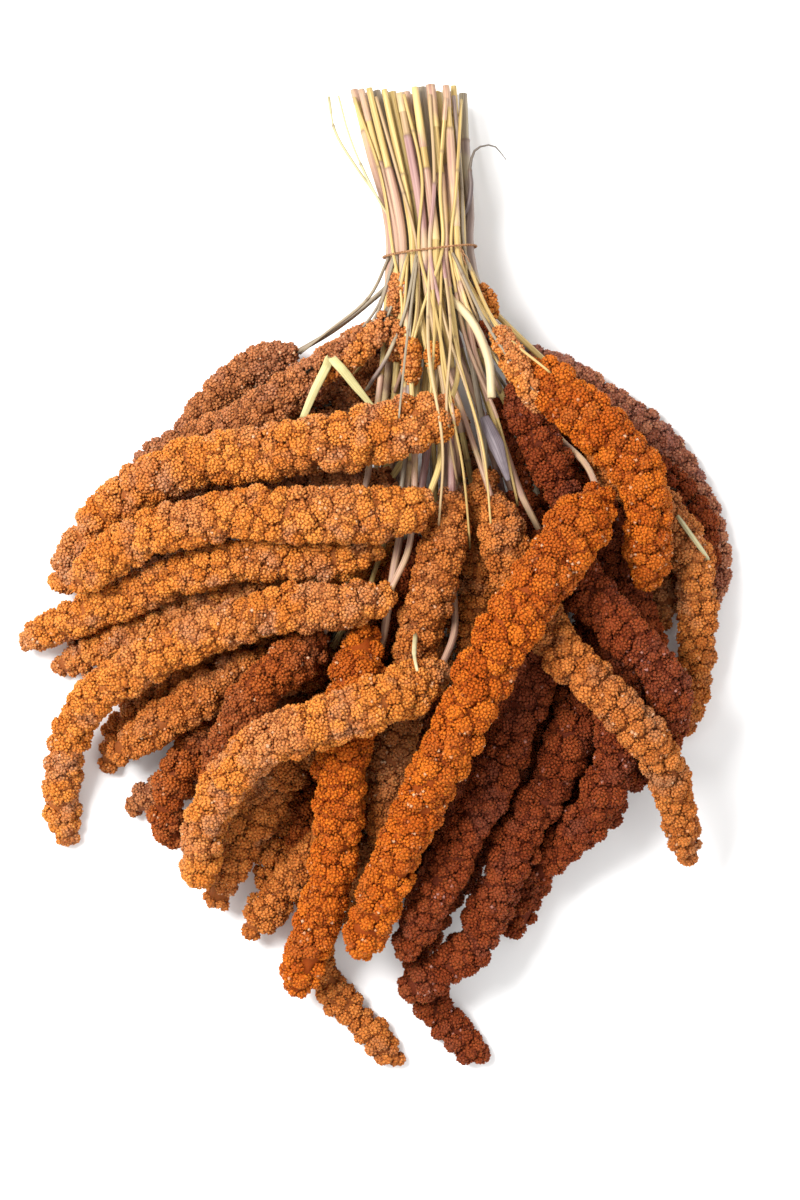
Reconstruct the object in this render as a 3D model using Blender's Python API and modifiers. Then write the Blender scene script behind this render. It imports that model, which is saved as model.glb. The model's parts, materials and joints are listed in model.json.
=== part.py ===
"""A tied bunch of dried foxtail millet, laid on a flat surface.

Each stalk is a straw that runs from its cut end, through the tie, to a long lobed seed head. The
heads fan out from the tie and lie on each other in a pile. The pile is laid out from each head's own
route, and then settled: heads and straws are moved apart until none crosses another.

The model is in metres with +Z up. The straws point to +Y and the heads to -Y.
"""

import math
import random
from collections import namedtuple

import bmesh
import bpy
import numpy as np

# The layout below is in millimetres, from the tie's middle: x to the right, y towards the cut ends
# and z up from the surface. MM turns it into the scene's metres.
MM = 0.001
CURVE_STEPS = 14

# Straws
STRAW_RADIUS = 2.4
STRAW_STEP = 20.0
STRAW_SIDES_RESOLUTION = 1
CUT_END_Y = 82.0
CUT_END_SPREAD_X = 1.45
CUT_END_SPREAD_Z = 1.3
CUT_END_SHIFT_X = -11.0
CUT_END_HEIGHT = 20.0
CUT_END_UNEVEN = 2.5
HEAD_GAP = 0.3

# The tie, and the straws' places in it: rows from the lowest up
TIE_HEIGHT = 40.0
TIE_ROWS = (7, 6, 7, 8, 7, 6)
TIE_PITCH = 5.3
TIE_HOLD = 7.0
TIE_GRIP = 21.0
TIE_RADIUS = 0.6
TIE_GAP = 0.5
TIE_POINTS = 30
TIE_TILT = 0.12

# Seed heads: lobes stand out of the head as peaks on a three-coloured triangular net
RING_STEP = 9.4
HEAD_SIDES = 9
HIDDEN_SIDES = 6
VALLEY = 0.75
PEAK_UNEVEN = 0.07
BASE_SHARE = 0.9
TAPER_POWER = 1.4
FEWEST_RINGS = 6
FIRST_RING = 0.60
SECOND_RING = 0.88
LAST_RING = 0.66

# Settling
PAD = 0.2
FLOOR_SHARE = 0.62
SIDE_EASE = 0.30
SETTLE_STEPS = 520
CLEAR_STEPS = 400
CLEAR_ENOUGH = 0.05
STEPS_PER_SEARCH = 8
SEARCH_MARGIN = 6.0
PUSH = 1.3
SMOOTHING = 0.6
PLAN_PULL = 0.02
TIE_PULL = 0.10
SINK_FROM = 120
SINK = 0.10
SINKING_PULL = 0.004
SEED = 11

# A stalk with no straw colour here lies deep in the pile, and its straw and head are one piece. Via
# points lead a straw under the heads that hide it.
Stalk = namedtuple("Stalk", "name grain straw radius tip_share route via", defaults=((),))

# Head routes run from the lowest lobes to the tip.
STALKS = (
    Stalk("left_1", "umber", "grey", 11.5, 0.80,
          [(-65, -49, 28), (-80, -52, 26), (-110, -73, 20),
           (-125, -98, 16), (-134, -130, 14), (-142, -168, 12)]),
    Stalk("left_2", "umber", "grey", 13.0, 0.80,
          [(-44, -58, 46), (-65, -68, 46), (-100, -88, 42), (-128, -99, 36), (-149, -106, 30)]),
    Stalk("left_3", "amber", "yellow", 17.5, 0.74,
          [(11, -79, 78), (-18, -92, 88), (-68, -101, 90),
           (-118, -108, 84), (-158, -131, 62), (-187, -172, 40)]),
    Stalk("left_4", "amber", "yellow", 16.0, 0.74,
          [(2, -124, 76), (-38, -135, 84), (-98, -133, 82), (-144, -145, 68), (-177, -169, 46)]),
    Stalk("left_5", "amber", "grey", 14.5, 0.70,
          [(-24, -146, 60), (-80, -154, 62), (-140, -169, 54), (-209, -198, 22)]),
    Stalk("left_6", "amber", "yellow", 14.0, 0.78,
          [(-16, -170, 66), (-75, -180, 74), (-130, -200, 70),
           (-174, -231, 50), (-187, -275, 24), (-184, -300, 14)]),
    Stalk("left_7", "amber", "grey", 13.0, 0.75,
          [(-10, -152, 42), (-70, -168, 44), (-125, -184, 42), (-192, -209, 16)]),
    Stalk("left_8", "ochre", None, 13.5, 0.80,
          [(-48, -195, 42), (-98, -212, 44), (-160, -256, 26)]),
    Stalk("left_9", "rust", None, 13.0, 0.80,
          [(-62, -188, 28), (-108, -233, 26), (-131, -280, 22), (-127, -301, 18)]),
    Stalk("left_10", "rust", None, 13.0, 0.80,
          [(-52, -190, 46), (-84, -218, 44), (-103, -246, 36), (-112, -282, 24)]),
    Stalk("left_11", "ochre", None, 13.0, 0.80,
          [(-46, -178, 32), (-90, -196, 34), (-128, -217, 30), (-154, -240, 22), (-163, -264, 16)]),
    Stalk("left_12", "umber", None, 13.5, 0.80,
          [(-14, -112, 44), (-52, -114, 48), (-92, -120, 46), (-128, -131, 38), (-156, -146, 28)]),
    Stalk("left_13", "rust", None, 13.0, 0.80,
          [(-24, -132, 22), (-60, -150, 24), (-98, -164, 22), (-134, -180, 18), (-164, -196, 14)]),
    Stalk("low_1", "umber", None, 12.5, 0.80,
          [(-30, -150, 24), (-72, -206, 18), (-120, -257, 14), (-156, -280, 12)]),
    Stalk("low_2", "ochre", None, 12.5, 0.75,
          [(-22, -205, 20), (-44, -275, 18), (-57, -325, 16),
           (-54, -368, 15), (-37, -389, 13), (-13, -413, 11)]),
    Stalk("low_3", "rust", None, 13.0, 0.85,
          [(34, -205, 18), (24, -265, 17), (2, -325, 16), (-4, -370, 15), (9, -392, 13), (31, -409, 12)]),
    Stalk("low_4", "rust", None, 12.0, 0.85,
          [(76, -190, 18), (84, -240, 16), (62, -292, 14), (41, -347, 11)]),
    Stalk("front_1", "orange", "yellow", 17.5, 0.72,
          [(88, -121, 64), (67, -149, 84), (37, -190, 102),
           (12, -238, 104), (-11, -288, 92), (-38, -353, 62)],
          [(30, -50, 40), (62, -90, 44)]),
    Stalk("front_2", "amber", "yellow", 15.0, 0.76,
          [(9, -208, 74), (-42, -231, 92), (-88, -251, 90), (-112, -288, 70), (-115, -319, 48)],
          [(14, -95, 44), (16, -155, 46)]),
    Stalk("front_3", "orange", "yellow", 15.5, 0.78,
          [(-26, -188, 58), (-42, -250, 72), (-47, -308, 68), (-68, -375, 38)],
          [(-10, -95, 40), (-16, -145, 36)]),
    Stalk("front_4", "ochre", None, 14.0, 0.80,
          [(-30, -215, 46), (-70, -252, 52), (-92, -292, 44), (-108, -330, 28)]),
    Stalk("front_5", "ochre", None, 13.0, 0.80,
          [(-18, -238, 38), (-48, -290, 36), (-92, -347, 20)]),
    Stalk("front_6", "rust", None, 13.5, 0.80,
          [(2, -220, 26), (-6, -262, 28), (-16, -305, 26), (-32, -345, 20)]),
    Stalk("middle_1", "ochre", "mauve", 13.5, 0.80,
          [(9, -118, 68), (-4, -170, 74), (-14, -225, 66), (-26, -300, 48)]),
    Stalk("middle_2", "rust", None, 13.0, 0.80,
          [(-11, -140, 44), (-29, -195, 44), (-44, -248, 34)]),
    Stalk("middle_3", "rust", None, 13.0, 0.80,
          [(8, -132, 30), (2, -172, 30), (-18, -210, 26), (-44, -242, 22)]),
    Stalk("middle_4", "ochre", None, 13.0, 0.80,
          [(28, -108, 46), (24, -142, 52), (24, -172, 52), (16, -205, 44)]),
    Stalk("right_1", "ochre", "yellow", 14.5, 0.70,
          [(32, -122, 60), (44, -158, 68), (60, -192, 74), (86, -221, 72), (115, -256, 52), (131, -307, 24)]),
    Stalk("right_2", "ochre", "mauve", 13.0, 0.75,
          [(80, -96, 40), (106, -120, 48), (131, -150, 46), (136, -200, 32), (131, -244, 16)]),
    Stalk("right_3", "orange", "yellow", 16.0, 0.78,
          [(46, -58, 64), (62, -74, 74), (80, -90, 80), (96, -110, 76), (104, -140, 58), (107, -170, 46)]),
    Stalk("right_4", "rust", None, 13.0, 0.80,
          [(60, -112, 32), (88, -150, 30), (104, -185, 28), (104, -232, 22), (96, -272, 14)]),
    Stalk("right_5", "mauve", "dark", 12.0, 0.85,
          [(49, -48, 30), (81, -72, 26), (119, -104, 22), (144, -148, 18), (143, -180, 14)]),
    Stalk("right_6", "rust", "yellow", 14.5, 0.78,
          [(40, -118, 36), (58, -170, 38), (52, -222, 48), (16, -298, 58), (-13, -355, 42)]),
    Stalk("right_7", "rust", None, 14.0, 0.80,
          [(78, -178, 34), (79, -235, 38), (39, -315, 40), (12, -355, 36), (-15, -374, 32)]),
    Stalk("right_8", "rust", None, 13.5, 0.80,
          [(92, -190, 46), (87, -250, 50), (50, -316, 34)]),
    Stalk("right_9", "rust", None, 13.5, 0.80,
          [(52, -140, 54), (74, -166, 56), (92, -194, 54), (104, -226, 44), (100, -262, 30)]),
    Stalk("right_10", "rust", None, 13.5, 0.80,
          [(58, -192, 22), (56, -236, 22), (38, -276, 22), (14, -318, 20), (-4, -344, 16)]),
    Stalk("right_11", "ochre", None, 13.0, 0.80,
          [(92, -88, 26), (110, -118, 26), (119, -152, 22), (118, -190, 18)]),
    Stalk("right_12", "rust", None, 13.0, 0.80,
          [(42, -60, 48), (50, -86, 50), (62, -110, 48), (78, -136, 42)]),
    Stalk("right_13", "rust", None, 13.0, 0.80,
          [(66, -204, 20), (74, -236, 18), (88, -262, 16), (95, -290, 14)]),
)

# The dry end of one straw curls out of the bunch above the tie. Its radius grows along the route.
CURLED_STRAW = "right_5"
CURL_ROUTE = [(39, 47, 30), (34, 53, 32), (28, 55, 34), (23, 51, 36), (20.5, 42, 38), (20.5, 25, 40)]
CURL_RADII = (0.55, 0.7, 0.9, 1.1, 1.3, 1.5)
DARK_STRAW_RADIUS = 1.9

# One straw is broken off below the tie and has no head.
BROKEN_ROUTE = [(26, -42, 56), (31, -75, 62)]

Blade = namedtuple("Blade", "name colour widths arch route")

# Dry leaf blades that are caught between the straws and the heads
BLADES = (
    Blade("bent_leaf", "leaf", (3.6, 4.6, 4.8, 4.6, 2.4), 0.5,
          [(-63, -84, 60), (-51, -58, 62), (-49, -54, 64), (-46, -57, 66), (-27, -80, 62)]),
    Blade("leaf_sheath", "sheath", (5.0, 8.0, 2.6), 1.3,
          [(27, -84, 66), (33, -98, 70), (39, -116, 72)]),
)
BLADE_STEP = 5.0
BLADE_THICKNESS = 0.7

COLOURS = {
    "grain_orange": (0.50, 0.14, 0.025),
    "grain_amber": (0.46, 0.16, 0.035),
    "grain_ochre": (0.34, 0.13, 0.035),
    "grain_rust": (0.26, 0.065, 0.020),
    "grain_umber": (0.23, 0.085, 0.035),
    "grain_mauve": (0.24, 0.10, 0.075),
    "straw_yellow": (0.72, 0.52, 0.22),
    "straw_mauve": (0.48, 0.30, 0.25),
    "straw_grey": (0.33, 0.27, 0.20),
    "straw_dark": (0.16, 0.13, 0.11),
    "leaf": (0.55, 0.52, 0.28),
    "sheath": (0.13, 0.11, 0.12),
    "twine": (0.24, 0.11, 0.045),
}
ROUGHNESS = {"twine": 0.6, "sheath": 0.5, "leaf": 0.6}
PLAIN_ROUGHNESS = 0.8


def smooth_curve(points):
    """Points along the centripetal Catmull-Rom curve through the given ones, and where each falls."""
    given = np.array(points, float)
    ends = np.vstack([2 * given[0] - given[1], given, 2 * given[-1] - given[-2]])
    line = []
    for p0, p1, p2, p3 in zip(ends, ends[1:], ends[2:], ends[3:]):
        t1 = math.sqrt(np.linalg.norm(p1 - p0))
        t2 = t1 + math.sqrt(np.linalg.norm(p2 - p1))
        t3 = t2 + math.sqrt(np.linalg.norm(p3 - p2))
        for t in np.linspace(t1, t2, CURVE_STEPS, endpoint=False):
            a1 = p0 + (p1 - p0) * t / t1
            a2 = p1 + (p2 - p1) * (t - t1) / (t2 - t1)
            a3 = p2 + (p3 - p2) * (t - t2) / (t3 - t2)
            b1 = a1 + (a2 - a1) * t / t2
            b2 = a2 + (a3 - a2) * (t - t1) / (t3 - t1)
            line.append(b1 + (b2 - b1) * (t - t1) / (t2 - t1))
    line.append(given[-1])
    return np.array(line), [i * CURVE_STEPS for i in range(len(given))]


def lengths_along(line):
    steps = np.linalg.norm(np.diff(line, axis=0), axis=1)
    return np.concatenate([[0.0], np.cumsum(steps)])


def at_stations(line, stations):
    """The points of a line at the given lengths along it."""
    along = lengths_along(line)
    return np.stack([np.interp(stations, along, line[:, axis]) for axis in range(3)], axis=1)


class Chain:
    """One thing in the pile: the points along its middle, and a radius at both ends of each stretch."""

    def __init__(self, name, points, start_radii, end_radii, held=()):
        self.name = name
        self.points = points
        self.start_radii = np.array(start_radii, float)
        self.end_radii = np.array(end_radii, float)
        self.held = tuple(held)
        self.head_start = len(points)


def tie_slots():
    """The places of the straws in the tie, as x and z from its middle, row by row from the lowest."""
    rise = TIE_PITCH * math.sqrt(3) / 2
    middle = (len(TIE_ROWS) - 1) / 2
    rows = []
    for row, count in enumerate(TIE_ROWS):
        z = (row - middle) * rise
        rows.append([((i - (count - 1) / 2) * TIE_PITCH, z) for i in range(count)])
    return rows


def slots_by_straw(firsts):
    """Gives each straw a slot: the lowest heads take the lowest row, and each row runs left to right."""
    order = sorted(firsts, key=lambda name: firsts[name][2])
    slots = {}
    for row in tie_slots():
        members = sorted(order[:len(row)], key=lambda name: firsts[name][0])
        order = order[len(row):]
        slots.update(zip(members, row))
    return slots


def straw_route(slot, unevenness):
    """A straw from its cut end to just below the tie."""
    x, z = slot
    cut_end = (
        CUT_END_SHIFT_X + CUT_END_SPREAD_X * x,
        CUT_END_Y + unevenness * CUT_END_UNEVEN,
        CUT_END_HEIGHT + CUT_END_SPREAD_Z * z,
    )
    height = TIE_HEIGHT + z
    slope = (height - cut_end[2]) / CUT_END_Y
    return [cut_end, (x, TIE_HOLD, height - slope * TIE_HOLD), (x, -TIE_HOLD, height + slope * TIE_HOLD)]


def head_stations(length):
    """Lengths along a head: its two ends, and its rings between them."""
    rings = max(FEWEST_RINGS, round(length / RING_STEP))
    step = length / rings
    return np.concatenate([[0.0], (np.arange(rings) + 0.5) * step, [length]])


def head_radii(stations, radius, tip_share):
    """The outer radius at each station of a head, nothing at its ends."""
    share = stations / stations[-1]
    body = radius * np.minimum(BASE_SHARE + share, 1.0) * (1 - (1 - tip_share) * share**TAPER_POWER)
    body[0] = body[-1] = 0.0
    body[1] *= FIRST_RING
    body[2] *= SECOND_RING
    body[-2] *= LAST_RING
    return body


def near_tie(points):
    """Which of a straw's points the tie holds in place."""
    return [i for i, point in enumerate(points) if abs(point[1]) < TIE_GRIP]


def stalk_chain(stalk, slot, unevenness):
    """A stalk as one chain: its straw, then its head."""
    if stalk.name == CURLED_STRAW:
        x, z = slot
        beginning = CURL_ROUTE + [(x, TIE_HOLD, TIE_HEIGHT + z), (x + 1, -TIE_HOLD, TIE_HEIGHT + z)]
    else:
        beginning = straw_route(slot, unevenness)
    line, places = smooth_curve(beginning + list(stalk.via) + list(stalk.route))
    base = places[len(beginning) + len(stalk.via)]
    straw_line, head_line = line[:base + 1], line[base:]
    straw_length = lengths_along(straw_line)[-1]
    head_length = lengths_along(head_line)[-1]
    step = STRAW_STEP / 2 if stalk.name == CURLED_STRAW else STRAW_STEP
    straw_points = at_stations(straw_line, np.linspace(0, straw_length, round(straw_length / step) + 1))
    stations = head_stations(head_length)
    head_points = at_stations(head_line, stations)
    if stalk.name == CURLED_STRAW:
        straw_radii = np.full(len(straw_points), DARK_STRAW_RADIUS)
        straw_radii[:len(CURL_RADII)] = CURL_RADII
    else:
        straw_radii = np.full(len(straw_points), STRAW_RADIUS)
    radii = head_radii(stations, stalk.radius, stalk.tip_share)
    points = np.vstack([straw_points, head_points[1:]])
    chain = Chain(
        stalk.name,
        points,
        np.concatenate([straw_radii[:-1], np.maximum(radii[:-1], STRAW_RADIUS)]),
        np.concatenate([straw_radii[1:], radii[1:]]),
        held=near_tie(straw_points),
    )
    chain.head_start = len(straw_points) - 1
    chain.head_radii = radii
    chain.straw_radii = straw_radii
    return chain


def broken_chain(slot, unevenness):
    line, _ = smooth_curve(straw_route(slot, unevenness) + BROKEN_ROUTE)
    length = lengths_along(line)[-1]
    points = at_stations(line, np.linspace(0, length, round(length / STRAW_STEP) + 1))
    radii = np.full(len(points), STRAW_RADIUS)
    chain = Chain("broken", points, radii[:-1], radii[1:], held=near_tie(points))
    chain.straw_radii = radii
    return chain


def blade_chain(blade):
    line, places = smooth_curve(blade.route)
    length = lengths_along(line)[-1]
    stations = np.linspace(0, length, round(length / BLADE_STEP) + 1)
    width_places = lengths_along(line)[places]
    widths = np.interp(stations, width_places, blade.widths)
    radii = widths / 2 + BLADE_THICKNESS / 2
    chain = Chain(blade.name, at_stations(line, stations), radii[:-1], radii[1:])
    chain.widths = widths
    return chain


def closest_on_stretches(p1, q1, p2, q2):
    """For pairs of straight stretches, how far along each its closest point to the other is, 0 to 1."""
    d1, d2, r = q1 - p1, q2 - p2, p1 - p2
    a = np.einsum("ij,ij->i", d1, d1)
    e = np.einsum("ij,ij->i", d2, d2)
    f = np.einsum("ij,ij->i", d2, r)
    c = np.einsum("ij,ij->i", d1, r)
    b = np.einsum("ij,ij->i", d1, d2)
    across = np.maximum(a * e - b * b, 1e-9)
    s = np.clip((b * f - c * e) / across, 0, 1)
    t = np.clip((b * s + f) / e, 0, 1)
    s = np.clip((b * t - c) / a, 0, 1)
    return s, t


class Pile:
    """All the chains together, for settling them clear of each other and of the surface."""

    def __init__(self, chains):
        self.chains = chains
        counts = [len(chain.points) for chain in chains]
        self.starts = np.concatenate([[0], np.cumsum(counts)])
        self.points = np.vstack([chain.points for chain in chains])
        self.plan = self.points.copy()
        self.first = np.concatenate([np.arange(n - 1) + s for n, s in zip(counts, self.starts)])
        self.owner = np.concatenate([np.full(n - 1, i) for i, n in enumerate(counts)])
        self.start_radii = np.concatenate([chain.start_radii for chain in chains]) + PAD
        self.end_radii = np.concatenate([chain.end_radii for chain in chains]) + PAD
        radii = np.zeros(len(self.points))
        np.maximum.at(radii, self.first, self.start_radii)
        np.maximum.at(radii, self.first + 1, self.end_radii)
        self.lowest = radii * FLOOR_SHARE
        self.pull = np.full((len(self.points), 3), PLAN_PULL)
        self.sinks = np.zeros(len(self.points), bool)
        for chain, start, end in zip(chains, self.starts, self.starts[1:]):
            self.pull[[start + i for i in chain.held]] = TIE_PULL
            self.sinks[start + chain.head_start + 1:end] = True
        # Which point follows which, for smoothing along the chains
        self.before = np.maximum(np.arange(len(self.points)) - 1, 0)
        self.after = np.minimum(np.arange(len(self.points)) + 1, len(self.points) - 1)
        self.before[self.starts[:-1]] = self.starts[:-1]
        self.after[self.starts[1:] - 1] = self.starts[1:] - 1

    def near_pairs(self):
        """Pairs of stretches of different chains that could come to touch."""
        middle = (self.points[self.first] + self.points[self.first + 1]) / 2
        half = np.linalg.norm(self.points[self.first + 1] - self.points[self.first], axis=1) / 2
        reach = half + np.maximum(self.start_radii, self.end_radii)
        apart = np.linalg.norm(middle[:, None] - middle[None], axis=2)
        near = apart < reach[:, None] + reach[None] + SEARCH_MARGIN
        near &= self.owner[:, None] < self.owner[None]
        return np.nonzero(near)

    def part(self, one, two, ease):
        """One round of moving touching stretches apart. Returns the deepest overlap it found."""
        a, b = self.first[one], self.first[two]
        p1, q1, p2, q2 = (self.points[i] for i in (a, a + 1, b, b + 1))
        s, t = closest_on_stretches(p1, q1, p2, q2)
        apart = p2 + (q2 - p2) * t[:, None] - p1 - (q1 - p1) * s[:, None]
        distance = np.linalg.norm(apart, axis=1)
        reach = self.start_radii[one] * (1 - s) + self.end_radii[one] * s
        reach = reach + self.start_radii[two] * (1 - t) + self.end_radii[two] * t
        hit = distance < reach
        if not hit.any():
            return 0.0
        a, b, s, t = a[hit], b[hit], s[hit], t[hit]
        overlap = (reach - distance)[hit]
        direction = apart[hit] / np.maximum(distance[hit], 1e-6)[:, None]
        eased = direction * ease
        give = np.einsum("ij,ij->i", direction, eased)
        share = (1 - s)**2 + s**2 + (1 - t)**2 + t**2
        push = eased * (overlap / (share * give))[:, None]
        moves = np.zeros_like(self.points)
        counts = np.zeros(len(self.points))
        for index, weight in ((a, -(1 - s)), (a + 1, -s), (b, 1 - t), (b + 1, t)):
            np.add.at(moves, index, push * weight[:, None])
            np.add.at(counts, index, np.abs(weight))
        self.points += moves * (PUSH / np.maximum(counts, 1))[:, None]
        return overlap.max()

    def smooth(self):
        """Spreads each point's offset from the plan along its chain."""
        offset = self.points - self.plan
        spread = (offset[self.before] + offset[self.after]) / 2 - offset
        self.points += SMOOTHING * spread

    def rest_on_surface(self):
        self.points[:, 2] = np.maximum(self.points[:, 2], self.lowest)

    def settle(self):
        mostly_up = np.array([SIDE_EASE, SIDE_EASE, 1.0])
        one, two = self.near_pairs()
        for step in range(SETTLE_STEPS):
            if step % STEPS_PER_SEARCH == 0:
                one, two = self.near_pairs()
            if step == SINK_FROM:
                self.pull[self.sinks, 2] = SINKING_PULL
            if step >= SINK_FROM:
                self.points[self.sinks, 2] -= SINK
            self.points += (self.plan - self.points) * self.pull
            self.part(one, two, mostly_up)
            self.smooth()
            self.part(one, two, mostly_up)
            self.rest_on_surface()
        for step in range(CLEAR_STEPS):
            if step % STEPS_PER_SEARCH == 0:
                one, two = self.near_pairs()
            deepest = self.part(one, two, np.ones(3))
            self.rest_on_surface()
            if deepest < CLEAR_ENOUGH:
                break
        for chain, start, end in zip(self.chains, self.starts, self.starts[1:]):
            chain.points = self.points[start:end]
        return deepest


def directions(points):
    """Unit directions along a line at each of its points."""
    ahead = np.gradient(points, axis=0)
    return ahead / np.linalg.norm(ahead, axis=1)[:, None]


def material(name):
    """A plain material in the given colour."""
    made = bpy.data.materials.get(name)
    if made is None:
        made = bpy.data.materials.new(name)
        made.use_nodes = True
        shader = made.node_tree.nodes["Principled BSDF"]
        shader.inputs["Base Color"].default_value = (*COLOURS[name], 1.0)
        shader.inputs["Roughness"].default_value = ROUGHNESS.get(name, PLAIN_ROUGHNESS)
        shader.inputs["Metallic"].default_value = 0.0
    return made


def add_part(name, data, colour, collection):
    data.materials.append(material(colour))
    made = bpy.data.objects.new(name, data)
    collection.objects.link(made)
    return made


def lobed_mesh(name, spine, radii, sides, lobed_from, rng):
    """A UV sphere drawn out along the spine, its rings raised into lobes by the net's colouring.

    Rings before lobed_from stay round. The first two points of the spine may be the same, which gives
    a flat end.
    """
    ahead = directions(spine[1:])
    ahead = np.vstack([ahead[:1], ahead])
    side = np.cross(ahead[0], (0.0, 0.0, 1.0))
    frames = []
    for forward in ahead:
        side = side - forward * side.dot(forward)
        side /= np.linalg.norm(side)
        frames.append((side, np.cross(side, forward)))
    last = len(spine) - 1
    bm = bmesh.new()
    bmesh.ops.create_uvsphere(bm, u_segments=sides, v_segments=last, radius=1.0)
    for vert in bm.verts:
        ring = round(math.acos(max(-1.0, min(1.0, vert.co.z))) / math.pi * last)
        place = round(math.atan2(vert.co.y, vert.co.x) / (2 * math.pi) * sides)
        angle = 2 * math.pi * (place + ring / 2) / sides
        if ring < lobed_from:
            relief = 1.0
        elif (place + 2 * ring) % 3 == 0:
            relief = 1 - rng.random() * PEAK_UNEVEN
        else:
            relief = VALLEY * (1 + (rng.random() - 0.5) * PEAK_UNEVEN)
        across, up = frames[ring]
        point = spine[ring] + radii[ring] * relief * (across * math.cos(angle) + up * math.sin(angle))
        point[2] = max(point[2], 0.0)
        vert.co = point * MM
    bmesh.ops.triangulate(bm, faces=bm.faces, quad_method="SHORT_EDGE")
    mesh = bpy.data.meshes.new(name)
    bm.to_mesh(mesh)
    bm.free()
    mesh.shade_smooth()
    return mesh


def head_mesh(chain, rng):
    spine = chain.points[chain.head_start:]
    return lobed_mesh("head_" + chain.name, spine, chain.head_radii, HEAD_SIDES, 0, rng)


def stalk_mesh(chain, rng):
    """A straw and its head as one body, from the flat cut end to the tip."""
    spine = np.vstack([chain.points[:1], chain.points])
    radii = np.concatenate([[0.0], chain.straw_radii, chain.head_radii[1:]])
    lobed_from = len(chain.straw_radii) + 1
    return lobed_mesh("stalk_" + chain.name, spine, radii, HIDDEN_SIDES, lobed_from, rng)


def tube(name, points, radii, cyclic=False):
    """A round tube along the points, as a curve with a bevel."""
    curve = bpy.data.curves.new(name, "CURVE")
    curve.dimensions = "3D"
    curve.bevel_depth = MM
    curve.bevel_resolution = STRAW_SIDES_RESOLUTION
    curve.use_fill_caps = True
    spline = curve.splines.new("POLY")
    spline.points.add(len(points) - 1)
    spline.use_cyclic_u = cyclic
    for target, point, radius in zip(spline.points, points, radii):
        target.co = (*(np.array(point) * MM), 1.0)
        target.radius = radius
    return curve


def straw_tube(chain):
    """A stalk's straw, ending just short of its head."""
    points = chain.points[:chain.head_start + 1].copy()
    if chain.head_start < len(chain.points):
        last = points[-1] - points[-2]
        points[-1] -= last / np.linalg.norm(last) * HEAD_GAP
    return tube("straw_" + chain.name, points, chain.straw_radii)


def crossing_at_tie(chain):
    """Where a straw passes through the tie's plane, and its radius there."""
    points = chain.points[:chain.head_start + 1]
    plane = TIE_TILT * points[:, 0] - points[:, 1]
    i = int(np.argmax(plane[1:] > 0))
    share = -plane[i] / (plane[i + 1] - plane[i])
    return points[i] + (points[i + 1] - points[i]) * share, chain.straw_radii[i]


def tie_tube(chains):
    """The tie: a taut loop round the straws, where it touches the outermost of them."""
    middles, radii = zip(*(crossing_at_tie(chain) for chain in chains))
    middles = np.array(middles)[:, [0, 2]]
    reach = np.array(radii) + TIE_GAP + TIE_RADIUS
    loop = []
    for turn in range(TIE_POINTS):
        angle = 2 * math.pi * turn / TIE_POINTS
        outward = np.array([math.cos(angle), math.sin(angle)])
        outermost = int(np.argmax(middles @ outward + reach))
        x, z = middles[outermost] + reach[outermost] * outward
        loop.append((x, TIE_TILT * x, z))
    return tube("tie", loop, [TIE_RADIUS] * len(loop), cyclic=True)


def blade_mesh(blade, chain):
    """A leaf blade: a strip of the blade's width along its route, arched across, before Solidify."""
    ahead = directions(chain.points)
    last = len(chain.points) - 1
    bm = bmesh.new()
    bmesh.ops.create_grid(bm, x_segments=last, y_segments=2, size=1.0)
    for vert in bm.verts:
        station = round((vert.co.x + 1) / 2 * last)
        across = vert.co.y
        forward = ahead[station]
        side = np.array([1.0, 0.0, 0.0]) - forward * forward[0]
        side /= np.linalg.norm(side)
        up = np.cross(forward, side)
        if up[2] < 0:
            up = -up
        point = chain.points[station] + side * across * chain.widths[station] / 2
        point += up * blade.arch * (0.5 - across**2) * chain.widths[station] / max(blade.widths)
        vert.co = point * MM
    mesh = bpy.data.meshes.new(blade.name)
    bm.to_mesh(mesh)
    bm.free()
    mesh.shade_smooth()
    return mesh


def add_blade(blade, chain, collection):
    made = add_part(blade.name, blade_mesh(blade, chain), blade.colour, collection)
    solidify = made.modifiers.new("thickness", "SOLIDIFY")
    solidify.thickness = BLADE_THICKNESS * MM
    solidify.offset = 0.0
    return made


def lowest_and_highest(objects):
    """The corners of the box round the objects, as the viewport evaluates them."""
    graph = bpy.context.evaluated_depsgraph_get()
    corners = []
    for obj in objects:
        evaluated = obj.evaluated_get(graph)
        mesh = evaluated.to_mesh()
        points = np.empty(len(mesh.vertices) * 3)
        mesh.vertices.foreach_get("co", points)
        points = points.reshape(-1, 3)
        corners += [points.min(axis=0), points.max(axis=0)]
        evaluated.to_mesh_clear()
    return np.min(corners, axis=0), np.max(corners, axis=0)


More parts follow.
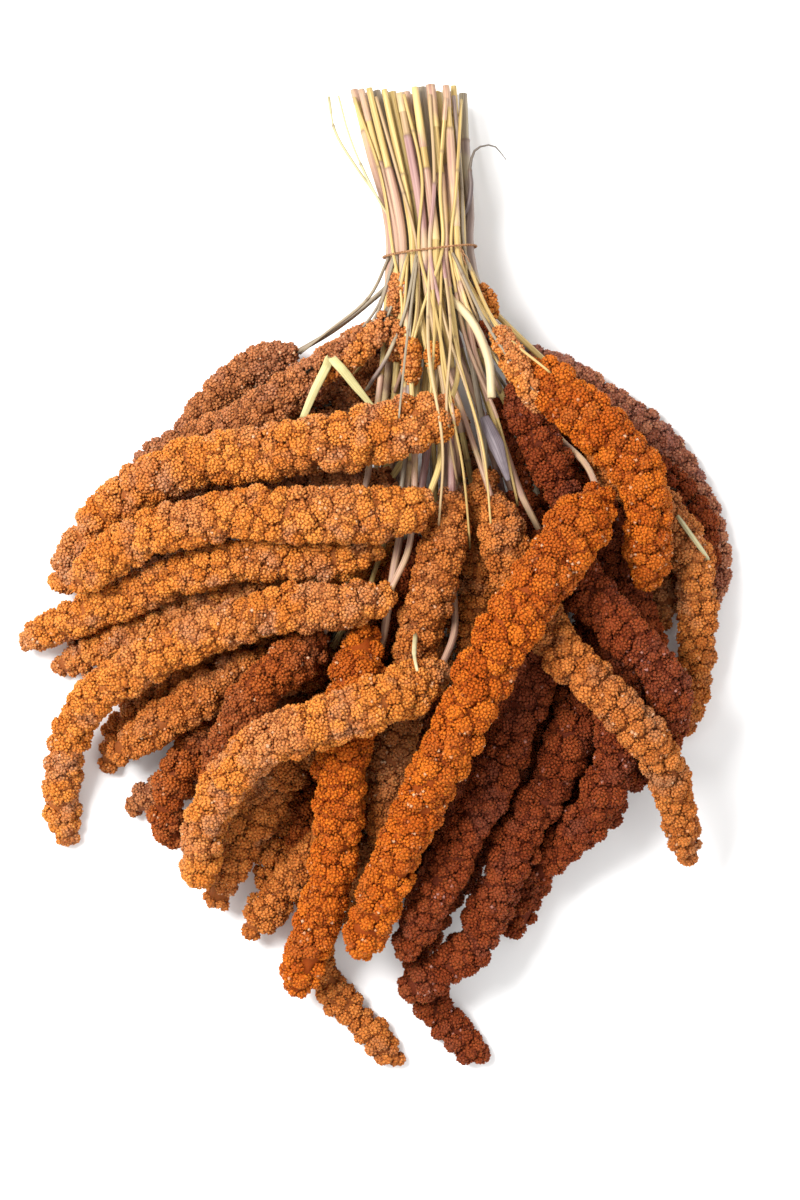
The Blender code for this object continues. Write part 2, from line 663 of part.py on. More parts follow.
def main():
    for old in list(bpy.data.objects):
        bpy.data.objects.remove(old, do_unlink=True)
    collection = bpy.data.collections.new("millet_bunch")
    bpy.context.scene.collection.children.link(collection)
    rng = random.Random(SEED)

    firsts = {stalk.name: stalk.route[0] for stalk in STALKS}
    firsts["broken"] = BROKEN_ROUTE[0]
    slots = slots_by_straw(firsts)
    stalks = {}
    for stalk in STALKS:
        stalks[stalk.name] = stalk_chain(stalk, slots[stalk.name], rng.uniform(-1, 1))
    broken = broken_chain(slots["broken"], rng.uniform(-1, 1))
    blades = {blade.name: blade_chain(blade) for blade in BLADES}
    pile = Pile([*stalks.values(), broken, *blades.values()])
    deepest = pile.settle()
    print(f"settled: the deepest overlap left is {deepest:.3f} mm")

    for stalk in STALKS:
        chain = stalks[stalk.name]
        if stalk.straw is None:
            mesh = stalk_mesh(chain, rng)
            add_part(mesh.name, mesh, "grain_" + stalk.grain, collection)
            continue
        mesh = head_mesh(chain, rng)
        add_part(mesh.name, mesh, "grain_" + stalk.grain, collection)
        straw = straw_tube(chain)
        add_part(straw.name, straw, "straw_" + stalk.straw, collection)
    straw = straw_tube(broken)
    add_part(straw.name, straw, "straw_yellow", collection)
    tie = tie_tube([*stalks.values(), broken])
    add_part(tie.name, tie, "twine", collection)
    for blade in BLADES:
        add_blade(blade, blades[blade.name], collection)

    # The origin is on the surface, under the middle of the bunch.
    low, high = lowest_and_highest(collection.objects)
    middle = (low + high) / 2
    for obj in collection.objects:
        obj.location = (-middle[0], -middle[1], -low[2])


main()
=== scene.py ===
"""The looks of a tied bunch of dried foxtail millet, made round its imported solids.

Every stalk is read back from its solids: the middle line of its straw, and that of its head with the
radius along it. Round lobes stand on the head in a net, and small seeds cover each lobe. The straws,
the tie and the leaves are made again with their ridges, joints, sheaths, twist and veins.

Lengths are in metres, in the frame of the solids: straws to +Y, heads to -Y, the surface at z = 0.
"""

import json
import math

import bpy
import numpy as np
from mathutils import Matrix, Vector
from mathutils.bvhtree import BVHTree


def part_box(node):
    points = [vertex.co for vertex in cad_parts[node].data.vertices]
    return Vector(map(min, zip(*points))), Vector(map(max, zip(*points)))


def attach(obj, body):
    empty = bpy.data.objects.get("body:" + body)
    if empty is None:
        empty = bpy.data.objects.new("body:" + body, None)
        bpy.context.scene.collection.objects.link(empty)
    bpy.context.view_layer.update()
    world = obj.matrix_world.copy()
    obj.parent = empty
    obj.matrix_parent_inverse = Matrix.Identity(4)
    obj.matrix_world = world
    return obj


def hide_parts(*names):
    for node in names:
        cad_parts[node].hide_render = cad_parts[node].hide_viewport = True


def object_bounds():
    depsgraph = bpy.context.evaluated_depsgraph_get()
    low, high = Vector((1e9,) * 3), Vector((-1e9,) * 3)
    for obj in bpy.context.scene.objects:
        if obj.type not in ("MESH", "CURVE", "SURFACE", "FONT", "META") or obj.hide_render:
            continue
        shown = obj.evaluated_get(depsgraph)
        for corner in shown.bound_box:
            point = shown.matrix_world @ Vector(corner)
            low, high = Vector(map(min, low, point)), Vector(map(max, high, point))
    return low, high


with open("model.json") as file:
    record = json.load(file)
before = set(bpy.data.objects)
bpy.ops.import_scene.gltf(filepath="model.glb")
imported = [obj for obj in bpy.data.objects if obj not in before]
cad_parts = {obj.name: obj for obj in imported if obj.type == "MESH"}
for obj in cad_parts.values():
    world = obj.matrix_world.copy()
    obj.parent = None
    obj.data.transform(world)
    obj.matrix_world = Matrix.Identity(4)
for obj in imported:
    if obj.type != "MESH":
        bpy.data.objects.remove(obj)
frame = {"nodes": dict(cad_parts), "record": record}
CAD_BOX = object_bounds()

MM = 0.001
RANDOM_START = 5
rng = np.random.default_rng(RANDOM_START)

# Slots that are named more than once
YELLOW, MAUVE, GREY, DARK = "straw_yellow", "straw_mauve", "straw_grey", "straw_dark"
AMBER, OCHRE, UMBER, RUST = "grain_amber", "grain_ochre", "grain_umber", "grain_rust"

# Reading the solids
JOIN_GRID = 1e-5
HEAD_SIDES = 9
RING_JOIN = 3.2 * MM
CUT_END_DEPTH = 5.0 * MM
HEAD_FROM = 1.3

# Seeds: sizes are shares of the spacing, and directions are cosines
# Painted shade follows low, which is small where lobes meet, and tip, which is 0 at a seed's base
GRAIN_VALUES = ("low", "tone", "lobe", "tip")
SEED_SPACING = 1.92 * MM
SEED_PACKING = 0.866
SEED_WIDTH = 0.66
SEED_RISE = 0.40
SEED_SINK = 0.22
SEED_TILT = 0.28
SEED_UNEVEN = 0.20
SEED_WANDER = 0.20
SEED_FLOOR = 0.2 * MM
BARE_BACK = -0.35
HIDDEN_KEPT = 0.08
HIDDEN_GROWTH = 1.8
ROUND_FROM = 0.45
ROUND_FACING = 0.95

# Lobes, as shares of the head's radius
LOBE_STEP = 0.53
LOBES_ROUND = 7
LOBE_SIZE = (0.42, 0.37)
LOBE_REACH = 1.08
LOBE_UNEVEN = 0.27
LOBE_SHORT = 0.20
LOBE_WANDER = 0.16
LOBE_BUMPS = 3
LOBE_BUMP = 0.012
BUMP_WAVES = 3.0
BUMP_SHIFT = 6.0
TIP_LOBE = 0.62
MERGE_FROM = 0.45
BURIED = 1.0
# Painted shade between lobes fades out from BURIED to this many radii of the other lobe
PAINTED_SHADE_TO = 1.35
CORE_SHARE = 0.60
CORE_SIDES = 9
CORE_INSET = (0.3, 0.4)
CORE_END = 0.3
# The domes under the seeds: rings by their angle from the outer pole, and how open each ring and pole is,
# where a less open one gets more painted shade
DOME_SHARE = 0.96
DOME_RINGS = (0.72, 1.42)
DOME_OPEN = (0.70, 0.20)
DOME_POLES_OPEN = (0.9, 0.0)
DOME_BACK = 0.3
DOME_TONE = 0.3
DOME_SIDES = 7
EDGE_GAP = 1.3 * MM
FLOOR_GAP = 0.7 * MM

# How open each lobe is: rays in this many directions, from points leaning up by these amounts
VIEW_DIRECTIONS = 40
LOWEST_VIEW = 0.02
BEHIND = -0.3
SEEN_EDGE = 0.06
LEANS = (0.0, 0.9)

# Straws: widths are shares of the solid's, at these places along it
STRAW_VALUES = ("along", "u", "v", "sheath", "joint", "pith", "tone")
STRAW_SIDES = 10
STRAW_STEP = 4.0 * MM
HIDDEN_STRAW_STEP = 9.0 * MM
LEAST_STEP = 0.12 * MM
WIDTH_PLACES = (0.0, 0.28, 0.5, 1.0)
STRAW_WIDTHS = (0.70, 1.0)
STRAW_WIDTHS_BELOW = (0.60, 0.78)
RIDGE = 0.045
RIDGE_UNEVEN = 0.5
FIRST_JOINT = (12 * MM, 60 * MM)
JOINT_EVERY = (90 * MM, 150 * MM)
LAST_JOINT = 15 * MM
JOINT_RINGS = (-1.8, -0.8, 0.0, 0.8, 1.8)
JOINT_SWELL = 0.16
JOINT_SWELL_WRAPPED = 0.5
JOINT_LENGTH = 0.9 * MM
FIRST_SHEATH = (0.3, 0.9)
SHEATH_SHARE = (0.35, 0.95)
SHEATH_THICKNESS = 0.24 * MM
SHEATH_EDGE = 0.35 * MM
PITH_WALL = 0.72
PITH_TAPER = 0.94
PITH_DEPTH = 0.8 * MM
UNBROKEN = 2.0
BROKEN_FROM = 0.62
BREAK_FADE = 0.1
STRAW_SHEATHED = {MAUVE: 0.9, YELLOW: 0.5, GREY: 0.35, DARK: 0.2}
HIDDEN_STRAWS = (MAUVE, YELLOW, GREY, YELLOW)

# The tie, and the twist that closes it: where it starts from the anchor and how far each end reaches
TWINE_STRAND = 0.36 * MM
TWINE_OFFSET = 0.32 * MM
TWINE_PITCH = 3.6 * MM
TWINE_SIDES = 6
TWINE_STEPS = 8
ANCHOR_LEAN = 0.6
TWIST_START = np.array([-1.5, -1.2, 0.6]) * MM
TWIST_ENDS = (np.array([3.0, -9.0, 0.2]) * MM, np.array([5.0, -7.5, 1.0]) * MM)
TWIST_RINGS = 22
TWIST_RISE = 0.8
TWIST_SPIN = 14.0
TWIST_APART = 0.42 * MM
TWIST_TAPER = 0.35

# Camera and light
CAMERA_DISTANCE = 2.2
VIEW_HEIGHT = 0.600
SENSOR = 36.0
VIEW_CENTRE = (-0.015, -0.175)
VIEW_LEVEL = 0.05


def smoothstep(low, high, x):
    t = np.clip((x - low) / (high - low), 0.0, 1.0)
    return t * t * (3 - 2 * t)


def mix(pair, t):
    return pair[0] + (pair[1] - pair[0]) * t


def unit(vectors):
    return vectors / np.maximum(np.linalg.norm(vectors, axis=-1, keepdims=True), 1e-12)


# Reading the solids back

def net_of(node):
    """A solid's corner points with doubles joined, and which of them share an edge."""
    mesh = frame["nodes"][node].data
    points = np.empty(len(mesh.vertices) * 3)
    mesh.vertices.foreach_get("co", points)
    points = points.reshape(-1, 3)
    keys = np.round(points / JOIN_GRID).astype(np.int64)
    _, first, index = np.unique(keys, axis=0, return_index=True, return_inverse=True)
    corners = np.empty(len(mesh.loops), np.int32)
    mesh.loops.foreach_get("vertex_index", corners)
    faces = index.reshape(-1)[corners].reshape(-1, 3)
    neighbours = [set() for _ in first]
    for a, b, c in faces:
        neighbours[a].update((b, c))
        neighbours[b].update((a, c))
        neighbours[c].update((a, b))
    return points[first], neighbours


def levels_from(start, neighbours):
    """Rings of points, each one step further from the starting ones."""
    seen = set(start)
    levels = [sorted(start)]
    while levels[-1]:
        following = set().union(*(neighbours[i] for i in levels[-1])) - seen
        seen |= following
        levels.append(sorted(following))
    return levels[:-1]


def middles_and_radii(points, levels):
    middles = np.array([points[level].mean(axis=0) for level in levels])
    radii = np.array([np.linalg.norm(points[level] - m, axis=1).max() for level, m in zip(levels, middles)])
    return middles, radii


def tube_line(node):
    """A tube's middle points in order, and its radius at each."""
    points, neighbours = net_of(node)
    group = -np.ones(len(points), int)
    count = 0
    for i in range(len(points)):
        if group[i] < 0:
            near = [i]
            while near:
                j = near.pop()
                if group[j] < 0:
                    group[j] = count
                    near += [k for k in neighbours[j] if np.linalg.norm(points[k] - points[j]) < RING_JOIN]
            count += 1
    links = [set() for _ in range(count)]
    for i, others in enumerate(neighbours):
        links[group[i]].update(int(group[k]) for k in others if group[k] != group[i])
    ends = [i for i in range(count) if len(links[i]) == 1]
    order = [ends[0] if ends else 0]
    while True:
        following = [i for i in links[order[-1]] if i not in order]
        if not following:
            break
        order.append(min(following))
    return middles_and_radii(points, [group == i for i in order])


class Stalk:
    """One stalk as its solids have it: the straw's middle line, and the head's with its radii."""

    def __init__(self, name):
        self.name = name
        self.hidden = "stalk_" + name in frame["nodes"]
        if self.hidden:
            self.head_node = self.straw_node = "stalk_" + name
            points, neighbours = net_of(self.head_node)
            cut_end = np.nonzero(points[:, 1] > points[:, 1].max() - CUT_END_DEPTH)[0].tolist()
            middles, radii = middles_and_radii(points, levels_from(cut_end, neighbours))
            first = 1 + int(np.argmax(radii[1:] > HEAD_FROM * radii[0]))
            self.straw, self.straw_radii = middles[:first], radii[:first]
            self.spine, self.ring_radii = middles[first - 1:], radii[first:-1]
        else:
            self.head_node, self.straw_node = "head_" + name, "straw_" + name
            self.straw, self.straw_radii = straw_line(self.straw_node)
            points, neighbours = net_of(self.head_node)
            poles = [i for i in range(len(points)) if len(neighbours[i]) == HEAD_SIDES]
            base = min(poles, key=lambda i: np.linalg.norm(points[i] - self.straw[-1]))
            self.spine, radii = middles_and_radii(points, levels_from([base], neighbours))
            self.ring_radii = radii[1:-1]
        self.along = lengths_along(self.spine)


def straw_line(node):
    """A straw's middle line from its cut end, and its radii."""
    line, radii = tube_line(node)
    if line[0][1] < line[-1][1]:
        line, radii = line[::-1], radii[::-1]
    return line, radii


def lengths_along(line):
    steps = np.linalg.norm(np.diff(line, axis=0), axis=1)
    return np.concatenate([[0.0], np.cumsum(steps)])


def smooth_line(line, stations):
    """Points at the given lengths along a smooth curve through the line's points."""
    given = lengths_along(line)
    slopes = np.gradient(line, given, axis=0)
    stations = np.clip(stations, 0.0, given[-1])
    i = np.clip(np.searchsorted(given, stations, side="right") - 1, 0, len(line) - 2)
    span = (given[i + 1] - given[i])[:, None]
    t = ((stations - given[i]) / span[:, 0])[:, None]
    return (
        (1 + 2 * t) * (1 - t)**2 * line[i]
        + t * (1 - t)**2 * span * slopes[i]
        + t**2 * (3 - 2 * t) * line[i + 1]
        + t**2 * (t - 1) * span * slopes[i + 1]
    )


def frames_along(line):
    """For each point of a line: the direction ahead, and two square to it that turn as little as can be."""
    ahead = unit(np.gradient(line, axis=0))
    side = across(ahead[0])[0]
    sides = []
    for forward in ahead:
        side = unit(side - forward * (side @ forward))
        sides.append(side)
    sides = np.array(sides)
    return ahead, sides, np.cross(ahead, sides)


# Meshes made from arrays

class Pieces:
    """Gathers points, triangles and per-point values, and makes one mesh object of them."""

    def __init__(self, values=()):
        self.points = []
        self.faces = []
        self.count = 0
        self.values = {name: [] for name in values}

    def add(self, points, faces, **values):
        self.points.append(points)
        self.faces.append(faces + self.count)
        self.count += len(points)
        for name, store in self.values.items():
            store.append(np.broadcast_to(values.get(name, 0.0), len(points)))

    def make(self, name, material, node, slot):
        """One object on the frame's body, which stands for the node if there is one."""
        points = np.concatenate(self.points)
        faces = np.concatenate(self.faces)
        mesh = bpy.data.meshes.new(name)
        mesh.vertices.add(len(points))
        mesh.vertices.foreach_set("co", points.astype(np.float32).ravel())
        mesh.loops.add(faces.size)
        mesh.loops.foreach_set("vertex_index", faces.astype(np.int32).ravel())
        mesh.polygons.add(len(faces))
        mesh.polygons.foreach_set("loop_start", np.arange(len(faces), dtype=np.int32) * 3)
        mesh.update(calc_edges=True)
        mesh.shade_smooth()
        for value, store in self.values.items():
            layer = mesh.attributes.new(value, "FLOAT", "POINT")
            layer.data.foreach_set("value", np.concatenate(store).astype(np.float32))
        mesh.materials.append(material)
        made = bpy.data.objects.new(name, mesh)
        bpy.context.scene.collection.objects.link(made)
        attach(made, "root")
        if node:
            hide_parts(node)
        return made


def ring_faces(rings, sides):
    """Triangles of a closed tube of rings. Its first pole comes after the rings, and then its last."""
    ring = np.arange(rings - 1)[:, None] * sides
    i = np.arange(sides)[None]
    a, b = ring + i, ring + (i + 1) % sides
    body = np.stack([a, b, b + sides, a, b + sides, a + sides], axis=-1).reshape(-1, 3)
    i = np.arange(sides)
    last = (rings - 1) * sides
    start = np.stack([np.full(sides, rings * sides), (i + 1) % sides, i], axis=1)
    end = np.stack([np.full(sides, rings * sides + 1), last + i, last + (i + 1) % sides], axis=1)
    return np.concatenate([body, start, end])


def across(forward):
    """Two unit vectors square to each given one, so that the three are right-handed."""
    helper = np.where(np.abs(forward[..., 2:3]) < 0.9, [0.0, 0.0, 1.0], [1.0, 0.0, 0.0])
    side = unit(np.cross(helper, forward))
    return side, np.cross(forward, side)


def turns_of(sides):
    return np.arange(sides) * 2 * math.pi / sides


def arm_at(side, other, share):
    turn = 2 * math.pi * share
    return side * math.cos(turn) + other * math.sin(turn)


def circles(side, other, sides):
    """Unit circles of points in the planes of two vectors, one for each pair of them."""
    turn = turns_of(sides)
    return side[:, None] * np.cos(turn)[None, :, None] + other[:, None] * np.sin(turn)[None, :, None]


def tube_points(line, radii, sides):
    """Rings of points along a line, then a pole at each end."""
    _, side, other = frames_along(line)
    rings = line[:, None] + circles(side, other, sides) * radii[:, None, None]
    return np.vstack([rings.reshape(-1, 3), line[:1], line[-1:]])


def even_directions(count):
    """Directions spread evenly over a sphere, on a golden spiral."""
    i = np.arange(count) + 0.5
    z = 1 - 2 * i / count
    turn = i * math.pi * (3 - math.sqrt(5))
    flat = np.sqrt(1 - z * z)
    return np.stack([flat * np.cos(turn), flat * np.sin(turn), z], axis=1)


def random_turn():
    q, r = np.linalg.qr(rng.normal(size=(3, 3)))
    return q * np.sign(np.diag(r))


# Seed heads

class Lobes:
    """Round lobes of seeds. Each row gives a middle, the direction that it stands out in, and a radius."""

    def __init__(self, rows):
        middles, self.outward, self.radii = (np.array(column) for column in zip(*rows))
        room = (self.radii + EDGE_GAP)[:, None]
        self.middles = np.clip(middles, np.array(CAD_BOX[0]) + room, np.array(CAD_BOX[1]) - room)
        self.tones = rng.random(len(self.radii))

    def open_directions(self, solids, views):
        """For each lobe, which of the views are not blocked by a solid."""
        opened = np.zeros((len(self.middles), len(views)), bool)
        for lean in LEANS:
            arms = unit(self.outward + np.array([0.0, 0.0, lean]))
            starts = self.middles + arms * self.radii[:, None]
            for i, start in enumerate(starts):
                for j, view in enumerate(views):
                    if not opened[i, j] and view @ self.outward[i] > BEHIND:
                        opened[i, j] = solids.ray_cast(start, view)[0] is None
        return opened


def head_lobes(stalk):
    """The lobes of one head: rings along it, each turned half a place further, and one at the tip."""
    rows = []
    start, end = stalk.along[1], stalk.along[-2]
    full = stalk.ring_radii.max()
    rings = int(round((end - start) / (LOBE_STEP * full))) + 1
    stations = np.linspace(start, end, rings)
    line = smooth_line(stalk.spine, stations)
    radii = np.interp(stations, stalk.along[1:-1], stalk.ring_radii)
    ahead, side, other = frames_along(line)
    for k in range(rings):
        merged = smoothstep(MERGE_FROM, 1.0, k / (rings - 1))
        for place in range(LOBES_ROUND):
            arm = arm_at(side[k], other[k], (place + k / 2) / LOBES_ROUND)
            size = radii[k] * mix(LOBE_SIZE, merged) * (1 + LOBE_UNEVEN * rng.uniform(-1, 1))
            reach = radii[k] * (LOBE_REACH - LOBE_SHORT * rng.random())
            arm = unit(arm + LOBE_WANDER * rng.normal(size=3))
            middle = line[k] + arm * (reach - size - SEED_RISE * SEED_SPACING)
            middle = middle + ahead[k] * radii[k] * LOBE_WANDER * rng.uniform(-1, 1)
            rows.append((middle, arm, size))
    tip, forward = stalk.spine[-1], unit(stalk.spine[-1] - stalk.spine[-2])
    size = TIP_LOBE * stalk.ring_radii[-1]
    return Lobes([*rows, (tip - forward * size, forward, size)])


def tree_of(objects):
    points, faces, count = [], [], 0
    for mesh in (made.data for made in objects):
        points += [v.co[:] for v in mesh.vertices]
        faces += [[v + count for v in face.vertices] for face in mesh.polygons]
        count = len(points)
    return BVHTree.FromPolygons(points, faces)


def seeds_on(lobes, i, views):
    """One lobe's seeds: places, directions, seen or not, seen from above, how open (which sets the painted
    shade between lobes), and the lobe's tone.
    """
    middle, radius = lobes.middles[i], lobes.radii[i]
    count = int(round(4 * math.pi * radius**2 / (SEED_PACKING * SEED_SPACING**2)))
    directions = even_directions(count) @ random_turn().T
    directions = unit(directions + SEED_WANDER * SEED_SPACING / radius * rng.normal(size=(count, 3)))
    waves = directions @ rng.normal(size=(3, LOBE_BUMPS)) * BUMP_WAVES
    waves = np.sin(waves + rng.random(LOBE_BUMPS) * BUMP_SHIFT)
    points = middle + directions * radius * (1 + LOBE_BUMP * waves.sum(axis=1, keepdims=True))
    apart = np.linalg.norm(lobes.middles - middle, axis=1)
    near = np.nonzero((apart < radius + lobes.radii) & (apart > 0))[0]
    gaps = np.linalg.norm(points[:, None] - lobes.middles[near][None], axis=2) / lobes.radii[near]
    closest = gaps.min(axis=1, initial=np.inf)
    facing = directions @ views.T
    visible = facing.max(axis=1, initial=-1.0) > SEEN_EDGE
    high = visible & (facing[:, views[:, 2] > ROUND_FROM].max(axis=1, initial=-1.0) > ROUND_FACING)
    keep = (directions @ lobes.outward[i] > BARE_BACK) & (closest > BURIED)
    keep &= (points[:, 2] > SEED_SPACING * SEED_WIDTH) & (visible | (rng.random(count) < HIDDEN_KEPT))
    # The last value is low near the other lobes, where it paints shade
    columns = points, directions, visible, high, smoothstep(BURIED, PAINTED_SHADE_TO, closest)
    return *(column[keep] for column in columns), np.full(keep.sum(), lobes.tones[i])


def seed_body(sides):
    """A seed as a small blunt cone with a flat base, and its triangles."""
    turn = turns_of(sides)
    sunk = np.full(sides, -SEED_SINK)
    ring = np.stack([np.cos(turn) * SEED_WIDTH, np.sin(turn) * SEED_WIDTH, sunk], axis=1)
    faces = [(i, (i + 1) % sides, sides) for i in range(sides)]
    faces += [(0, i + 1, i) for i in range(1, sides - 1)]
    return np.vstack([ring, [[0, 0, SEED_RISE]]]), np.array(faces)


def add_seeds(pieces, sides, places, normals, sizes, **values):
    """Adds one seed at each place, standing along its normal with a random roll and tilt."""
    shape, triangles = seed_body(sides)
    up = unit(normals + SEED_TILT * rng.normal(size=normals.shape))
    side, other = across(up)
    roll = rng.random(len(up)) * 2 * math.pi
    x = side * np.cos(roll)[:, None] + other * np.sin(roll)[:, None]
    y = np.cross(up, x)
    body = shape[None] * (sizes * SEED_SPACING)[:, None, None]
    points = places[:, None] + body[..., 0:1] * x[:, None]
    points += body[..., 1:2] * y[:, None] + body[..., 2:3] * up[:, None]
    points[..., 2] = np.maximum(points[..., 2], SEED_FLOOR)
    starts = np.arange(len(places)) * len(shape)
    faces = (triangles[None] + starts[:, None, None]).reshape(-1, 3)
    spread = {name: np.repeat(value, len(shape)) for name, value in values.items()}
    tip = np.tile(np.arange(len(shape)) == sides, len(places))
    pieces.add(points.reshape(-1, 3), faces, tip=tip, **spread)


def add_domes(pieces, lobes, opened):
    """A round body under the seeds of each lobe that can be seen."""
    side, other = across(lobes.outward)
    faces = ring_faces(len(DOME_RINGS), DOME_SIDES)[:, ::-1]
    # Painted shade on the domes: their lower ring and back pole get low values, which darken them
    low = np.concatenate([np.repeat(DOME_OPEN, DOME_SIDES), DOME_POLES_OPEN])
    turn = turns_of(DOME_SIDES)
    for i in np.nonzero(opened.any(axis=1))[0]:
        out = lobes.outward[i]
        arm = side[i] * np.cos(turn)[:, None] + other[i] * np.sin(turn)[:, None]
        rings = [arm * math.sin(fall) + out * math.cos(fall) for fall in DOME_RINGS]
        points = np.vstack([*rings, out[None], -out[None] * DOME_BACK]) * lobes.radii[i] * DOME_SHARE
        pieces.add(points + lobes.middles[i], faces, low=low, tone=DOME_TONE, lobe=lobes.tones[i])


def add_core(pieces, stalk):
    """The head's inside: a plain tube along its middle line."""
    line = stalk.spine.copy()
    line[0] = mix((line[0], line[1]), CORE_INSET[0])
    line[-1] = mix((line[-1], line[-2]), CORE_INSET[1])
    ends = CORE_END * stalk.ring_radii[[0, -1]]
    radii = np.concatenate([ends[:1], stalk.ring_radii, ends[1:]])
    points = tube_points(line, radii * CORE_SHARE, CORE_SIDES)
    points[:, 2] = np.maximum(points[:, 2], FLOOR_GAP)
    # A low value of 0 paints the core in the crevices' shade, as it shows only between lobes
    pieces.add(points, ring_faces(len(line), CORE_SIDES), low=0.0, tone=0.5, lobe=0.5)


def add_grains(pieces, lobes, solids, views):
    """Domes and seeds for some lobes."""
    opened = lobes.open_directions(solids, views)
    add_domes(pieces, lobes, opened)
    rows = [seeds_on(lobes, i, views[opened[i]]) for i in range(len(lobes.radii))]
    places, normals, seen, upper, lows, lobe_tones = (np.concatenate(column) for column in zip(*rows))
    sizes = np.where(seen, 1.0, HIDDEN_GROWTH) * (1 + SEED_UNEVEN * rng.uniform(-1, 1, len(places)))
    tones = rng.random(len(sizes))
    for sides, chosen in ((4, upper), (3, ~upper)):
        if chosen.any():
            add_seeds(pieces, sides, places[chosen], normals[chosen], sizes[chosen],
                      low=lows[chosen], tone=tones[chosen], lobe=lobe_tones[chosen])


def make_head(stalk, solids, views, material, slot):
    pieces = Pieces(GRAIN_VALUES)
    add_core(pieces, stalk)
    add_grains(pieces, head_lobes(stalk), solids, views)
    return pieces.make("grains_" + stalk.name, material, stalk.head_node, slot)


# Straws

def joints_and_sheaths(length, sheathed):
    """Where a straw has its joints, and the stretches that a leaf sheath wraps."""
    joints, sheaths = [], []
    place = rng.uniform(*FIRST_JOINT)
    if rng.random() < sheathed:
        sheaths.append((-1.0, place * rng.uniform(*FIRST_SHEATH)))
    while place < length - LAST_JOINT:
        joints.append(place)
        following = place + rng.uniform(*JOINT_EVERY)
        if rng.random() < sheathed:
            sheaths.append((place, place + (following - place) * rng.uniform(*SHEATH_SHARE)))
        place = following
    return joints, sheaths


def add_straw(pieces, line, radii, sheathed, step, widths=None, split_from=UNBROKEN):
    """One straw: ridged, swollen at its joints, wrapped in leaf sheaths, with pith in its cut end."""
    widths = widths or (rng.uniform(*STRAW_WIDTHS), 1.0, *[rng.uniform(*STRAW_WIDTHS_BELOW)] * 2)
    given = lengths_along(line)
    length = given[-1]
    joints, sheaths = joints_and_sheaths(length, sheathed)
    stations = [np.linspace(0.0, length, max(4, int(length / step)))]
    stations += [joint + JOINT_LENGTH * np.array(JOINT_RINGS) for joint in joints]
    stations += [end + SHEATH_EDGE * np.array([-1.0, 0.0]) for _, end in sheaths]
    stations = np.unique(np.clip(np.concatenate(stations), 0.0, length))
    stations = stations[np.concatenate([[True], np.diff(stations) > LEAST_STEP])]
    joint, sheath = np.zeros(len(stations)), np.zeros(len(stations))
    for place in joints:
        joint = joint + np.exp(-((stations - place) / JOINT_LENGTH)**2)
    for start, end in sheaths:
        inside = smoothstep(start - SHEATH_EDGE, start, stations)
        inside = inside * smoothstep(end, end - SHEATH_EDGE, stations)
        sheath = np.maximum(sheath, inside)
    tall = np.interp(stations, given, radii) * np.interp(stations / length, WIDTH_PLACES, widths)
    swell = tall * JOINT_SWELL * joint * (1 - JOINT_SWELL_WRAPPED * sheath)
    tall = tall - SHEATH_THICKNESS * (1 - sheath) + swell
    middles = smooth_line(line, stations)

    # The cut end: wall, then a step down to the pith
    inward = unit(middles[1] - middles[0])
    middles = np.vstack([middles[0] + inward * PITH_DEPTH, middles[:1], middles])
    tall = np.concatenate([[tall[0] * PITH_WALL * PITH_TAPER, tall[0] * PITH_WALL], tall])
    stations = np.concatenate([[0.0, 0.0], stations])
    pith = smoothstep(split_from, split_from + BREAK_FADE, stations / length)
    pith[:2] = 1.0
    joint, sheath = (np.concatenate([[0.0, 0.0], x]) for x in (joint, sheath))

    _, side, other = frames_along(middles[2:])
    side, other = (np.vstack([x[:1], x[:1], x]) for x in (side, other))
    ridges = 1 + RIDGE * np.where(np.arange(STRAW_SIDES) % 2, -1.0, 1.0)
    ridges = ridges + RIDGE_UNEVEN * RIDGE * rng.normal(size=STRAW_SIDES)
    turn = turns_of(STRAW_SIDES)
    rings = middles[:, None] + circles(side, other, STRAW_SIDES) * (tall[:, None] * ridges[None])[..., None]
    points = np.vstack([rings.reshape(-1, 3), middles[:1], middles[-1:]])

    def spread(values, last):
        return np.concatenate([np.repeat(values, STRAW_SIDES), [values[0], last]])

    count = len(stations)
    pieces.add(
        points, ring_faces(count, STRAW_SIDES),
        along=spread(stations, stations[-1]),
        u=np.concatenate([np.tile(np.cos(turn), count), [0.0, 0.0]]),
        v=np.concatenate([np.tile(np.sin(turn), count), [0.0, 0.0]]),
        sheath=spread(sheath, sheath[-1]), joint=spread(joint, joint[-1]), pith=spread(pith, 0.0),
        tone=rng.random(),
    )


def make_straw(stalk, slot, material):
    """A stalk's straw, which ends inside the head."""
    pieces = Pieces(STRAW_VALUES)
    line = stalk.straw.copy()
    line[-1] = stalk.spine[0] + (stalk.spine[1] - stalk.spine[0]) * 0.5
    step = HIDDEN_STRAW_STEP if stalk.hidden else STRAW_STEP
    add_straw(pieces, line, stalk.straw_radii, STRAW_SHEATHED[slot], step)
    return pieces.make("straw_fine_" + stalk.name, material, stalk.straw_node, slot)


# Loose straws and small heads

